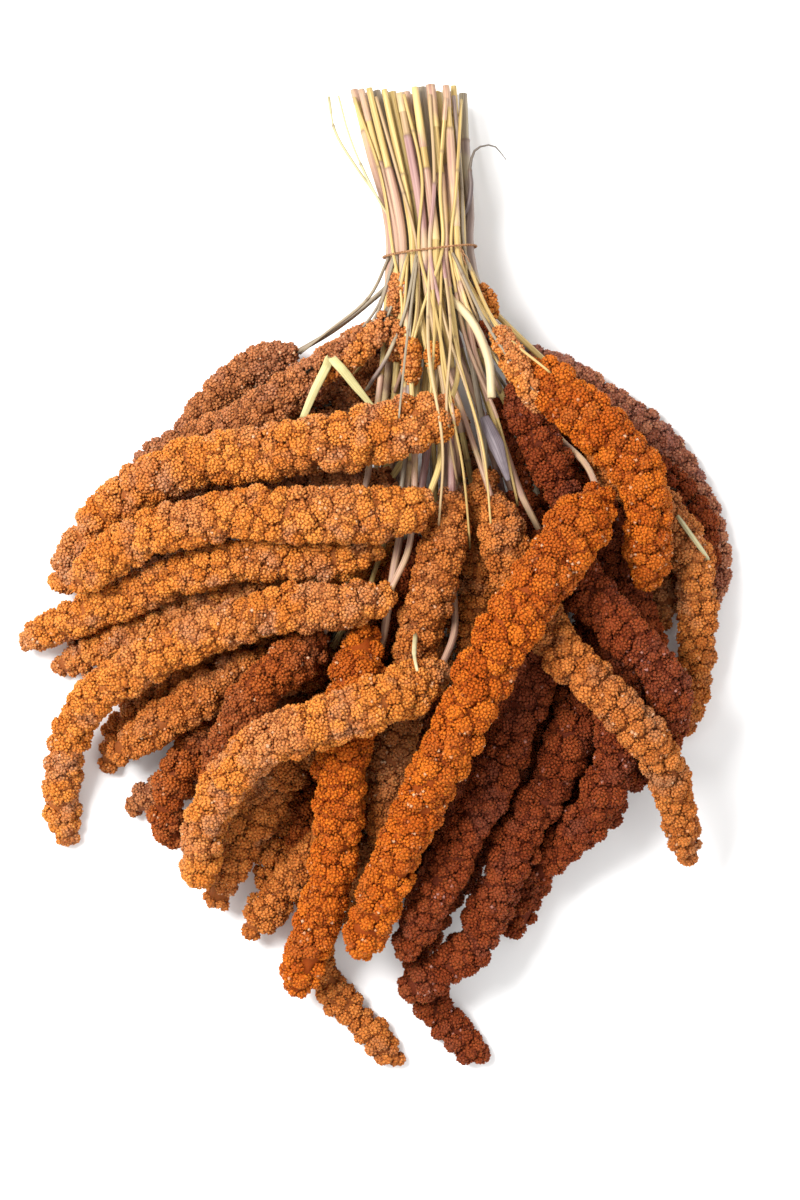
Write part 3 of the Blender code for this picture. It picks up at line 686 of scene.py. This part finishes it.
# Slot, radius, and where each thin straw runs, in millimetres from the tie's middle. Where a point has no
# height, the straw lies there on what is below it.
LOOSE_STRAWS = (
    (YELLOW, 0.8, [(-38, 79), (-24, 35), (-16, 0), (-14, -30), (-17, -55)]),
    (MAUVE, 0.8, [(-27, 78), (-16, 38), (-9, 0), (-6, -30), (-12, -62)]),
    (YELLOW, 0.8, [(-13, 79), (-4, 35), (-3, 0), (3, -35), (10, -78), (16, -120)]),
    (YELLOW, 0.9, [(8, 77), (5, 30), (6, 0), (-3, -28), (-11, -56)]),
    (MAUVE, 0.8, [(0, 79), (2, 30), (2, 0), (8, -40), (22, -85), (30, -130)]),
    (YELLOW, 0.8, [(16, 78), (13, 30), (11, 0), (24, -40), (42, -70)]),
    (GREY, 0.8, [(12, 79), (16, 30), (15, 0), (28, -30), (36, -52)]),
    (GREY, 0.8, [(-17, -1), (-30, -22), (-52, -40), (-68, -52)]),
    (GREY, 0.7, [(-15, -1), (-26, -28), (-45, -50), (-62, -62)]),
    (YELLOW, 0.8, [(-12, -1), (-20, -35), (-36, -58), (-52, -74)]),
    (GREY, 0.8, [(-9, -1), (-14, -36), (-24, -58), (-38, -76)]),
    (YELLOW, 0.8, [(-6, -1), (-8, -40), (-18, -72)]),
    (YELLOW, 0.8, [(0, -1), (2, -36), (0, -76)]),
    (MAUVE, 0.7, [(4, -1), (10, -40), (8, -84), (14, -120)]),
    (YELLOW, 0.8, [(7, -1), (18, -46), (34, -86), (44, -128)]),
    (YELLOW, 0.9, [(9, -1), (22, -40), (36, -72)]),
    (GREY, 0.8, [(12, -1), (30, -42), (52, -74)]),
    (YELLOW, 0.7, [(3, -1), (6, -60), (16, -110), (20, -150)]),
    (MAUVE, 0.8, [(-2, -1), (-1, -50), (6, -104), (4, -140)]),
    (YELLOW, 0.8, [(14, -1), (34, -40), (62, -66)]),
    (GREY, 0.7, [(-4, -1), (-12, -50), (-16, -90)]),
    (YELLOW, 0.7, [(5, -1), (14, -55), (26, -100), (30, -140)]),
    ("leaf", 1.0, [(121, -133), (131, -143), (141, -156)]),
    ("leaf", 1.0, [(-7, -192), (-8, -202), (-6, -212)]),
    ("leaf", 0.5, [(-51, 79, 30), (-48, 62, 33), (-38, 44, 38), (-27, 28, 42), (-17, 12, 44)]),
    ("leaf", 0.5, [(-46, 79, 34), (-41, 60, 37), (-34, 42, 41), (-26, 26, 44), (-16, 10, 45)]),
)
# Seeds' slot, head's radius, the share of the straw's length where the head starts, and the straw
SMALL_HEADS = (
    (AMBER, 5, 0.45, (GREY, 0.7, [(-14, -1), (-16, -18), (-17, -33)])),
    (AMBER, 5.5, 0.6, (YELLOW, 0.7, [(15, -1), (24, -16), (31, -31)])),
    (AMBER, 4.5, 0.84, (YELLOW, 0.7, [(0, -1), (3, -36), (1, -58)])),
    (AMBER, 6, 0.76, (GREY, 0.7, [(-5, -1), (-10, -42), (-9, -66)])),
    (AMBER, 6, 0.66, (YELLOW, 0.7, [(-10, -1), (-13, -30), (-17, -52)])),
    (OCHRE, 5.5, 0.5, (GREY, 0.7, [(-13, -1), (-22, -32), (-52, -50)])),
    (AMBER, 6.5, 0.45, (GREY, 0.7, [(-11, -1), (-24, -38), (-42, -56), (-58, -66)])),
    (UMBER, 7, 0.55, (GREY, 0.8, [(-14, -1), (-30, -38), (-68, -64)])),
    (AMBER, 7.5, 0.55, (YELLOW, 0.8, [(14, -1), (28, -30), (37, -48), (52, -78)])),
    (RUST, 4.5, 0.68, (MAUVE, 0.7, [(12, -1), (21, -28), (28, -48)])),
)
# Heads low in the pile: seeds' slot, radius, start, and a route with every height given from the surface
LOW_HEADS = (
    (RUST, 12, 0.66, [(-4, -60, 30), (-30, -150, 18), (-62, -235, 14), (-63, -325, 14)]),
    (OCHRE, 13, 0.62, [(-12, -60, 30), (-44, -180, 18), (-74, -262, 15), (-82, -316, 15)]),
    (OCHRE, 10, 0.66, [(0, -60, 30), (0, -150, 18), (-20, -260, 13), (-38, -345, 12)]),
    (OCHRE, 12, 0.5, [(6, -70, 30), (16, -130, 16), (14, -180, 14), (10, -230, 14)]),
    (RUST, 13, 0.55, [(30, -70, 30), (96, -100, 16), (130, -126, 15), (134, -186, 15)]),
    (RUST, 12, 0.6, [(20, -60, 32), (72, -104, 18), (90, -128, 14), (98, -168, 14)]),
    (RUST, 13, 0.45, [(12, -34, 34), (42, -74, 18), (50, -100, 15), (64, -130, 15)]),
    (RUST, 12, 0.45, [(14, -34, 34), (54, -66, 18), (70, -92, 14), (80, -120, 14)]),
    (UMBER, 12, 0.36, [(-8, -28, 34), (-16, -56, 18), (-36, -70, 14), (-68, -80, 14)]),
    (UMBER, 11, 0.4, [(2, -34, 34), (4, -70, 18), (12, -92, 13), (20, -124, 13)]),
    (AMBER, 8, 0.5, [(-60, -120, 20), (-110, -158, 14), (-146, -180, 10), (-180, -196, 9)]),
    (UMBER, 8, 0.45, [(-60, -130, 20), (-98, -142, 12), (-125, -148, 10), (-160, -164, 9)]),
    (UMBER, 8, 0.4, [(-8, -26, 34), (-20, -44, 20), (-38, -56, 12), (-60, -66, 12)]),
    (RUST, 9, 0.5, [(20, -40, 34), (36, -80, 18), (44, -106, 12), (54, -124, 12)]),
    (OCHRE, 10, 0.55, [(-4, -60, 30), (-8, -110, 16), (-13, -140, 12), (-20, -170, 12)]),
)
LOW_STRAW = (GREY, 0.8)
LOOSE_STEP = 3.0 * MM
LOOSE_WIDTHS = (1.0, 1.0, 1.0, 0.8)
LOOSE_SHEATHED = 0.3
LOOSE_SINK = 2.0 * MM
END_SINK = np.array([0.4, 1.0]) * 3.0 * MM
GROOVE_REACH = 2.6 * MM
GROOVE_TRIES = 15
CAST_FROM = 0.3
# Small heads: lobes round them and their share of the width, by whether the radius is over a limit
SMALL_BELOW = 9 * MM
SMALL_LOBES = (5, 0.5)
LOW_LOBES = (LOBES_ROUND, 0.4)
SMALL_STEP = 0.6
SMALL_WIDTH = (0.72, 0.28)
SMALL_UNEVEN = (0.85, 1.1)
SMALL_TIP = (0.3, 0.5)


def height_of(x, y, radius, tree):
    """How high a thin straw's middle is where it lies on what is below this place."""
    high = 0.0
    for aside in (-radius, 0.0, radius):
        hit = tree.ray_cast(Vector((x + aside, y, CAST_FROM)), Vector((0.0, 0.0, -1.0)))[0]
        high = max(high, hit.z if hit else 0.0)
    return high + radius


def taut(along, heights):
    """A stiff straw bridges the hollows between the high places that it lies on."""
    hull = [0]
    for i in range(1, len(along)):
        while len(hull) > 1:
            a, b = hull[-2], hull[-1]
            share = (along[b] - along[a]) / (along[i] - along[a])
            if heights[b] >= mix((heights[a], heights[i]), share):
                break
            hull.pop()
        hull.append(i)
    return np.interp(along, along[hull], heights[hull])


def loose_line(route, radius, tree, origin):
    """A loose straw's middle line: as given, or laid on what is below and in a groove at the tie."""
    points = np.array(route, float) * MM
    flat = points[:, :2] + origin
    if points.shape[1] == 3:
        line = np.column_stack([flat, points[:, 2]])
        return smooth_line(line, np.arange(0.0, lengths_along(line)[-1], LOOSE_STEP))
    tie = int(np.argmin(np.abs(points[:, 1])))
    tries = flat[tie, 0] + np.linspace(-GROOVE_REACH, GROOVE_REACH, GROOVE_TRIES)
    levels = [height_of(x, flat[tie, 1], radius, tree) for x in tries]
    flat[tie, 0] = tries[int(np.argmin(levels))]
    given = lengths_along(flat)
    along = np.arange(0.0, given[-1], LOOSE_STEP)
    path = smooth_line(flat, along)
    heights = np.array([height_of(x, y, radius, tree) for x, y in path])
    at_tie = int(np.argmin(np.abs(along - given[tie])))
    heights[at_tie] = min(levels)
    if tie == 0:
        heights[0] -= LOOSE_SINK
    above = taut(along[:at_tie + 1], heights[:at_tie + 1]) if at_tie else heights[:1]
    below = taut(along[at_tie:], heights[at_tie:])
    below[-2:] -= END_SINK
    heights = np.maximum(np.concatenate([above, below[1:]]), radius + FLOOR_GAP)
    return np.column_stack([path, heights])


def small_lobes(line, start, radius):
    """Lobes round the last part of a loose straw."""
    rows = []
    along = lengths_along(line)
    length = along[-1] * (1 - start)
    rings = max(2, int(round(length / (SMALL_STEP * radius)))) + 1
    stations = np.linspace(along[-1] * start, along[-1], rings)
    middles = smooth_line(line, stations)
    ahead, side, other = frames_along(middles)
    lobes_round, share = SMALL_LOBES if radius < SMALL_BELOW else LOW_LOBES
    for k in range(rings):
        swell = math.sin(math.pi * min(1.0, (k + 0.7) / rings))
        wide = radius * (SMALL_WIDTH[0] + SMALL_WIDTH[1] * swell) * rng.uniform(*SMALL_UNEVEN)
        for place in range(lobes_round):
            arm = arm_at(side[k], other[k], (place + k / 2) / lobes_round)
            size = wide * share * (1 + LOBE_UNEVEN * rng.uniform(-1, 1))
            arm = unit(arm + LOBE_WANDER * rng.normal(size=3))
            rows.append((middles[k] + arm * (wide - size), arm, size))
    tip = middles[-1] + ahead[-1] * SMALL_TIP[0] * radius
    return Lobes([*rows, (tip, ahead[-1], SMALL_TIP[1] * radius)])


def make_loose(grains, straws, laid_on, solids, views, origin):
    """The loose straws and small heads, gathered in one object for each finish."""
    heads = SMALL_HEADS + tuple((*head, (*LOW_STRAW, route)) for *head, route in LOW_HEADS)
    straw_pieces = {slot: Pieces(STRAW_VALUES) for slot in sorted({row[0] for row in LOOSE_STRAWS})}
    grain_pieces = {slot: Pieces(GRAIN_VALUES) for slot in sorted({row[0] for row in heads})}

    def lay(slot, radius, route, sheathed):
        line = loose_line(route, radius * MM, laid_on, origin)
        radii = np.full(len(line), radius * MM + SHEATH_THICKNESS)
        add_straw(straw_pieces[slot], line, radii, sheathed, STRAW_STEP, LOOSE_WIDTHS)
        return line

    for row in LOOSE_STRAWS:
        lay(*row, LOOSE_SHEATHED)
    for slot, radius, start, straw in heads:
        line = lay(*straw, 0.0)
        add_grains(grain_pieces[slot], small_lobes(line, start, radius * MM), solids, views)
    made = [pieces.make("loose_" + slot, straws[slot], None, slot) for slot, pieces in straw_pieces.items()]
    made += [pieces.make("loose_" + slot, grains[slot], None, slot) for slot, pieces in grain_pieces.items()]
    return made


# The tie

def make_tie(material):
    """Two thin strands twisted round each other along the tie's loop, with their ends twisted off."""
    loop, _ = tube_line("tie")
    length = lengths_along(np.vstack([loop, loop[:1]]))[-1]
    turns = round(length / TWINE_PITCH)
    count = turns * TWINE_STEPS
    stations = np.linspace(0.0, length, count, endpoint=False)
    wrapped = np.vstack([loop[-2:], loop, loop[:3]])
    line = smooth_line(wrapped, stations + lengths_along(wrapped)[2])
    ahead = unit(np.roll(line, -1, axis=0) - np.roll(line, 1, axis=0))
    out = unit(line - loop.mean(axis=0))
    out = unit(out - ahead * np.sum(out * ahead, axis=1, keepdims=True))
    third = np.cross(ahead, out)
    sides = np.arange(TWINE_SIDES)
    rings = np.arange(count)[:, None] * TWINE_SIDES
    following = np.roll(rings, -1, axis=0)
    a, b = rings + sides, rings + (sides + 1) % TWINE_SIDES
    c, d = following + sides, following + (sides + 1) % TWINE_SIDES
    faces = np.stack([a, b, d, a, d, c], axis=-1).reshape(-1, 3)
    pieces = Pieces()
    for strand in (0, 1):
        wind = 2 * math.pi * turns * stations / length + math.pi * strand
        arm = out * np.cos(wind)[:, None] + third * np.sin(wind)[:, None]
        centre = line + arm * TWINE_OFFSET
        points = centre[:, None] + circles(out, third, TWINE_SIDES) * TWINE_STRAND
        pieces.add(points.reshape(-1, 3), faces)

    # The twist that closes it, on the upper side to the right
    top = loop[np.argmax(loop[:, 0] + ANCHOR_LEAN * loop[:, 2])] + TWIST_START
    t = np.linspace(0.0, 1.0, TWIST_RINGS)
    rise = np.array([0.0, 0.0, 1.0]) * MM * (np.sin(t * math.pi) * TWIST_RISE)[:, None]
    for strand, reach in enumerate(TWIST_ENDS):
        spin = math.pi * strand + t * TWIST_SPIN
        away = np.stack([np.cos(spin), np.zeros(len(t)), np.sin(spin)], axis=1)
        line = top + t[:, None] * reach + rise + away * (TWIST_APART * (1 - t))[:, None]
        radii = TWINE_STRAND * (1.0 - TWIST_TAPER * t)
        pieces.add(tube_points(line, radii, TWINE_SIDES), ring_faces(len(t), TWINE_SIDES))
    return pieces.make("twine", material, "tie", "twine")


# Leaves

# Each blade's route and widths from its wide end, in millimetres from the tie's middle, as it grew
BLADES = {
    "bent_leaf": (
        [(-63, -84, 60), (-57, -70, 61.5), (-51, -58, 62), (-49, -54, 64), (-46, -57, 66),
         (-37, -68, 64.5), (-27, -80, 62)],
        (3.4, 4.2, 4.6, 4.7, 4.7, 4.2, 2.2), 0.7, "leaf"),
    "leaf_sheath": (
        [(27, -84, 66), (30, -91, 68.5), (33, -98, 70), (36, -107, 71.5), (39, -116, 72)],
        (4.9, 7.0, 7.8, 5.2, 2.2), 1.6, "sheath"),
}
BLADE_COLUMNS = 9
BLADE_ROWS = 44
BLADE_HALF_THICKNESS = 0.16
VEIN_HEIGHT = 0.10
EDGE_WAVE = 0.25
EDGE_WAVES = 17.0


def make_blade(node, material):
    """A dry leaf blade: a thin strip with a folded midrib, raised veins and a slightly waved edge."""
    route, widths, arch, slot = BLADES[node]
    route = np.array(route, float)
    given = lengths_along(route)
    stations = np.linspace(0.0, given[-1], BLADE_ROWS)
    line = smooth_line(route, stations)
    width = np.interp(stations, given, widths)
    ahead = unit(np.gradient(line, axis=0))
    side = unit(np.array([1.0, 0.0, 0.0]) - ahead * ahead[:, :1])
    up = np.cross(ahead, side)
    up = np.where(up[:, 2:] < 0, -up, up)
    t = np.linspace(-1.0, 1.0, BLADE_COLUMNS)
    vein = VEIN_HEIGHT * np.where(np.arange(BLADE_COLUMNS) % 2, 1.0, -1.0)
    wave = EDGE_WAVE * np.sin(stations / given[-1] * EDGE_WAVES)[:, None] * t[None]**3
    height = arch * (0.5 - t[None]**2) * (width / max(widths))[:, None] + vein[None] + wave
    sheet = line[:, None] + side[:, None] * (t[None] * width[:, None] / 2)[..., None]
    sheet = sheet + up[:, None] * height[..., None]
    upper = sheet + up[:, None] * BLADE_HALF_THICKNESS
    lower = sheet - up[:, None] * BLADE_HALF_THICKNESS
    points = np.concatenate([upper.reshape(-1, 3), lower.reshape(-1, 3)]) * MM
    low = BLADE_ROWS * BLADE_COLUMNS
    index = np.arange(low).reshape(BLADE_ROWS, BLADE_COLUMNS)
    a, b, c, d = (x.ravel() for x in (index[:-1, :-1], index[:-1, 1:], index[1:, 1:], index[1:, :-1]))
    top = np.concatenate([np.stack([a, b, c], 1), np.stack([a, c, d], 1)])
    edge = np.concatenate([index[0, :-1], index[:-1, -1], index[-1, :0:-1], index[:0:-1, 0]])
    after = np.roll(edge, -1)
    faces = np.concatenate([
        top, top[:, ::-1] + low,
        np.stack([edge, edge + low, after + low], 1), np.stack([edge, after + low, after], 1),
    ])
    points += np.mean(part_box(node), axis=0) - (points.min(axis=0) + points.max(axis=0)) / 2
    pieces = Pieces(("along", "across"))
    along = np.tile(np.repeat(stations * MM, BLADE_COLUMNS), 2)
    pieces.add(points, faces, along=along, across=np.tile(t, BLADE_ROWS * 2))
    return pieces.make("blade_" + node, material, node, slot)


# Materials

def put(tree, socket, given):
    """Links a socket to another one, or sets it to a value."""
    if isinstance(given, bpy.types.NodeSocket):
        tree.links.new(given, socket)
    else:
        socket.default_value = given


def value_node(tree, name):
    node = tree.nodes.new("ShaderNodeAttribute")
    node.attribute_name = name
    return node.outputs["Fac"]


def mixed(tree, factor, first, second, mode="MIX"):
    """Two colours mixed. Each one, and the factor, is a socket or a value."""
    node = tree.nodes.new("ShaderNodeMix")
    node.data_type = "RGBA"
    node.blend_type = mode
    for socket, given in ((node.inputs[0], factor), (node.inputs[6], first), (node.inputs[7], second)):
        put(tree, socket, (*given, 1.0) if isinstance(given, tuple) else given)
    return node.outputs[2]


def stepped(tree, value, low, high):
    """0 up to low and 1 from high, with a soft step between."""
    node = tree.nodes.new("ShaderNodeMapRange")
    node.interpolation_type = "SMOOTHSTEP"
    node.inputs["From Min"].default_value = low
    node.inputs["From Max"].default_value = high
    tree.links.new(value, node.inputs["Value"])
    return node.outputs["Result"]


def arithmetic(tree, operation, *operands):
    node = tree.nodes.new("ShaderNodeMath")
    node.operation = operation
    for socket, given in zip(node.inputs, operands):
        put(tree, socket, given)
    return node.outputs[0]


def scaled(tree, value, factor):
    return arithmetic(tree, "MULTIPLY", value, factor)


def noise(tree, scale, detail=2.0, vector=None):
    node = tree.nodes.new("ShaderNodeTexNoise")
    node.inputs["Scale"].default_value = scale
    node.inputs["Detail"].default_value = detail
    if vector is None:
        vector = tree.nodes.new("ShaderNodeTexCoord").outputs["Object"]
    tree.links.new(vector, node.inputs["Vector"])
    return node.outputs["Fac"]


def vector_of(tree, x, y, z):
    node = tree.nodes.new("ShaderNodeCombineXYZ")
    for socket, given in zip(node.inputs, (x, y, z)):
        tree.links.new(given, socket)
    return node.outputs["Vector"]


def add_bump(tree, shader, height, distance, strength=0.5):
    node = tree.nodes.new("ShaderNodeBump")
    node.inputs["Distance"].default_value = distance
    node.inputs["Strength"].default_value = strength
    tree.links.new(height, node.inputs["Height"])
    tree.links.new(node.outputs["Normal"], shader.inputs["Normal"])


def new_material(name, roughness, specular=0.5):
    made = bpy.data.materials.new(name)
    made.use_nodes = True
    shader = made.node_tree.nodes["Principled BSDF"]
    shader.inputs["Roughness"].default_value = roughness
    shader.inputs["Specular IOR Level"].default_value = specular
    return made, made.node_tree, shader


# Light that scatters inside the seeds, and where along X the painted shade of the right side begins and is
# full
SCATTER = 0.3
SCATTER_COLOUR = (1.0, 0.5, 0.25)
SCATTER_DEPTH = 0.8 * MM
PAINTED_SHADE_SIDE = (-0.06, 0.04)
PALE_SEED = (0.60, 0.34, 0.19)


def grain_material(name, painted_shade_colour, mid, light, husk, right=(1.0, 1.0, 1.0)):
    """Seeds: painted shade where lobes meet and at each seed's base, each seed a little lighter or darker,
    some patches of husk, and painted shade on the right side.
    """
    made, tree, shader = new_material(name, 0.75, 0.12)
    low, tone, lobe, tip = (value_node(tree, value) for value in GRAIN_VALUES)
    colour = mixed(tree, stepped(tree, tone, 0.0, 1.0), mid, light)
    colour = mixed(tree, stepped(tree, lobe, 0.55, 1.1), colour, light)
    colour = mixed(tree, stepped(tree, lobe, 0.35, 0.0), colour, mid)
    patches = stepped(tree, noise(tree, 55.0, 4.0), 0.50, 0.72)
    colour = mixed(tree, patches, colour, husk)
    broad = stepped(tree, noise(tree, 24.0, 2.0), 0.46, 0.66)
    colour = mixed(tree, scaled(tree, broad, 0.5), colour, husk)
    pale = stepped(tree, noise(tree, 26.0), 0.42, 0.58)
    specks = arithmetic(tree, "MULTIPLY", stepped(tree, tone, 0.96, 0.985), pale)
    colour = mixed(tree, specks, colour, PALE_SEED)
    # Painted shade: a little of the shade colour at each seed's base, and up to 80 % of it low between lobes
    colour = mixed(tree, tip, mixed(tree, 0.08, colour, painted_shade_colour), colour)
    colour = mixed(tree, scaled(tree, stepped(tree, low, 0.55, 0.0), 0.8), colour, painted_shade_colour)
    # Painted shade: seeds towards the right side, along X, are multiplied by a darker colour
    place = tree.nodes.new("ShaderNodeSeparateXYZ")
    tree.links.new(tree.nodes.new("ShaderNodeTexCoord").outputs["Object"], place.inputs[0])
    colour = mixed(tree, stepped(tree, place.outputs["X"], *PAINTED_SHADE_SIDE), colour, right, "MULTIPLY")
    tree.links.new(colour, shader.inputs["Base Color"])
    shader.inputs["Subsurface Weight"].default_value = SCATTER
    shader.inputs["Subsurface Radius"].default_value = SCATTER_COLOUR
    shader.inputs["Subsurface Scale"].default_value = SCATTER_DEPTH
    return made


# Each slot's colours: painted shade in crevices and at seed bases, seeds, light seeds, husk, and the painted
# shade that the right side is multiplied by
GRAINS = {
    "grain_orange": ((0.19, 0.028, 0.003), (0.41, 0.082, 0.005), (0.58, 0.15, 0.011), (0.38, 0.09, 0.012)),
    AMBER: ((0.22, 0.055, 0.012), (0.51, 0.155, 0.021), (0.66, 0.24, 0.042), (0.44, 0.19, 0.085)),
    OCHRE: ((0.18, 0.045, 0.01), (0.41, 0.118, 0.02), (0.55, 0.185, 0.038), (0.37, 0.15, 0.06)),
    # The rust slot's dark red is partly the seeds' own colour and partly painted shade low in the pile
    RUST: (
        (0.12, 0.02, 0.004), (0.28, 0.058, 0.008), (0.4, 0.1, 0.016), (0.27, 0.08, 0.025), (0.62, 0.5, 0.7)),
    UMBER: ((0.15, 0.042, 0.014), (0.34, 0.115, 0.034), (0.48, 0.18, 0.06), (0.33, 0.14, 0.08)),
    "grain_mauve": ((0.1, 0.027, 0.016), (0.3, 0.1, 0.055), (0.45, 0.185, 0.095), (0.27, 0.12, 0.1)),
}


def straw_material(name, pale, dark, sheath_pale, sheath_dark):
    """Dry straw: long streaks, a dark ring at each joint, coloured sheaths, and pale pith."""
    made, tree, shader = new_material(name, 0.5, 0.4)
    along, u, v, sheath, joint, pith, tone = (value_node(tree, value) for value in STRAW_VALUES)
    shift = scaled(tree, tone, 61.0)
    place = vector_of(
        tree,
        arithmetic(tree, "MULTIPLY_ADD", u, 2.6, shift),
        arithmetic(tree, "MULTIPLY_ADD", v, 2.6, shift),
        arithmetic(tree, "MULTIPLY_ADD", along, 22.0, shift),
    )
    streaks = noise(tree, 1.0, 3.0, place)
    broad = noise(tree, 38.0, 2.0)
    bare = mixed(tree, stepped(tree, streaks, 0.38, 0.66), dark, pale)
    bare = mixed(tree, scaled(tree, stepped(tree, tone, 0.3, 1.0), 0.55), bare, dark)
    wrapped = mixed(tree, stepped(tree, streaks, 0.35, 0.65), sheath_dark, sheath_pale)
    wrapped = mixed(tree, stepped(tree, broad, 0.5, 0.75), wrapped, pale)
    colour = mixed(tree, sheath, bare, wrapped)
    colour = mixed(tree, scaled(tree, joint, 0.6), colour, (0.14, 0.08, 0.045))
    colour = mixed(tree, pith, colour, mixed(tree, streaks, (0.72, 0.60, 0.38), (0.50, 0.38, 0.20)))
    tree.links.new(colour, shader.inputs["Base Color"])
    add_bump(tree, shader, streaks, 0.25 * MM)
    return made


# Each slot's colours: bare straw, its streaks, sheaths, and their streaks
STRAWS = {
    YELLOW: ((0.66, 0.49, 0.19), (0.4, 0.26, 0.085), (0.5, 0.33, 0.21), (0.34, 0.18, 0.13)),
    MAUVE: ((0.56, 0.41, 0.2), (0.36, 0.23, 0.12), (0.42, 0.25, 0.21), (0.26, 0.13, 0.12)),
    GREY: ((0.38, 0.31, 0.2), (0.21, 0.16, 0.11), (0.31, 0.23, 0.19), (0.18, 0.12, 0.1)),
    DARK: ((0.2, 0.16, 0.12), (0.1, 0.08, 0.065), (0.16, 0.12, 0.11), (0.09, 0.06, 0.06)),
    "leaf": ((0.62, 0.56, 0.33), (0.44, 0.38, 0.2), (0.5, 0.45, 0.25), (0.35, 0.3, 0.15)),
}


def leaf_material(name, pale, dark):
    """A dry leaf: fine veins along it, darker in the grooves, and blotches."""
    made, tree, shader = new_material(name, 0.55, 0.35)
    along, width = value_node(tree, "along"), value_node(tree, "across")
    place = vector_of(tree, scaled(tree, width, 9.0), scaled(tree, along, 30.0), along)
    veins = noise(tree, 1.0, 3.0, place)
    colour = mixed(tree, stepped(tree, veins, 0.38, 0.62), dark, pale)
    colour = mixed(tree, stepped(tree, noise(tree, 120.0), 0.55, 0.8), colour, dark)
    tree.links.new(colour, shader.inputs["Base Color"])
    add_bump(tree, shader, veins, 0.2 * MM)
    return made


def twine_material():
    made, tree, shader = new_material("twine", 0.7, 0.25)
    fibres = noise(tree, 1400.0, 3.0)
    colour = mixed(tree, stepped(tree, fibres, 0.35, 0.7), (0.20, 0.085, 0.035), (0.42, 0.22, 0.10))
    tree.links.new(colour, shader.inputs["Base Color"])
    add_bump(tree, shader, fibres, 0.15 * MM)
    return made


def floor_and_light(view_middle):
    bpy.ops.mesh.primitive_plane_add(size=12.0, location=(0.0, 0.0, 0.0))
    floor = bpy.context.object
    floor.name = "floor"
    made, _, shader = new_material("floor", 0.9, 0.2)
    shader.inputs["Base Color"].default_value = (0.93, 0.93, 0.925, 1.0)
    floor.data.materials.append(made)

    world = bpy.data.worlds.new("studio")
    bpy.context.scene.world = world
    world.use_nodes = True
    background = world.node_tree.nodes["Background"]
    background.inputs["Color"].default_value = (1.0, 1.0, 1.0, 1.0)
    background.inputs["Strength"].default_value = 0.85

    for name, place, size, power in (
        ("key", (-0.9, 0.5, 1.7), 0.8, 60.0),
        ("fill", (1.1, -0.9, 1.6), 1.4, 12.0),
    ):
        light = bpy.data.lights.new(name, "AREA")
        light.size = size
        light.energy = power
        lamp = bpy.data.objects.new(name, light)
        bpy.context.scene.collection.objects.link(lamp)
        lamp.location = place
        aim = unit(np.array([*view_middle, VIEW_LEVEL]) - place)
        lamp.rotation_euler = (math.acos(-aim[2]), 0.0, math.atan2(aim[1], aim[0]) - math.pi / 2)


def add_camera(view_middle):
    data = bpy.data.cameras.new("camera")
    data.sensor_width = SENSOR
    data.lens = SENSOR * CAMERA_DISTANCE / VIEW_HEIGHT
    data.clip_end = 20.0
    camera = bpy.data.objects.new("camera", data)
    bpy.context.scene.collection.objects.link(camera)
    camera.location = (*view_middle, VIEW_LEVEL + CAMERA_DISTANCE)
    bpy.context.scene.camera = camera


def main():
    slots = {part["node"]: part["material_slot"] for part in frame["record"]["subparts"]}
    low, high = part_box("tie")
    tie_middle = np.array((low + high) / 2)[:2]
    view_middle = tie_middle + VIEW_CENTRE

    names = sorted(node.split("_", 1)[1] for node in frame["nodes"] if node.startswith(("head_", "stalk_")))
    stalks = [Stalk(name) for name in names]
    views = even_directions(VIEW_DIRECTIONS)
    views = views[views[:, 2] > LOWEST_VIEW]
    grains = {name: grain_material(name, *colours) for name, colours in GRAINS.items()}
    straws = {name: straw_material(name, *colours) for name, colours in STRAWS.items()}
    made, fine_straws = [], []
    for number, stalk in enumerate(stalks):
        others = tree_of([frame["nodes"][other.head_node] for other in stalks if other is not stalk])
        slot = slots[stalk.head_node]
        made.append(make_head(stalk, others, views, grains[slot], slot))
        slot = HIDDEN_STRAWS[number % len(HIDDEN_STRAWS)] if stalk.hidden else slots[stalk.straw_node]
        fine_straws.append(make_straw(stalk, slot, straws[slot]))
    pieces = Pieces(STRAW_VALUES)
    add_straw(pieces, *straw_line("straw_broken"), 0.0, STRAW_STEP, (1.0,) * 4, BROKEN_FROM)
    made.append(pieces.make("straw_fine_broken", straws[YELLOW], "straw_broken", YELLOW))
    heads = [frame["nodes"][stalk.head_node] for stalk in stalks]
    made += fine_straws
    made += make_loose(grains, straws, tree_of(fine_straws + heads), tree_of(heads), views, tie_middle)
    made.append(make_tie(twine_material()))
    made.append(make_blade("bent_leaf", leaf_material("leaf", (0.62, 0.56, 0.27), (0.40, 0.34, 0.14))))
    made.append(make_blade("leaf_sheath", leaf_material("sheath", (0.20, 0.16, 0.17), (0.085, 0.065, 0.075))))
    print("triangles", sum(len(piece.data.polygons) for piece in made))

    bpy.context.scene.view_settings.view_transform = "Standard"
    floor_and_light(view_middle)
    add_camera(view_middle)


main()
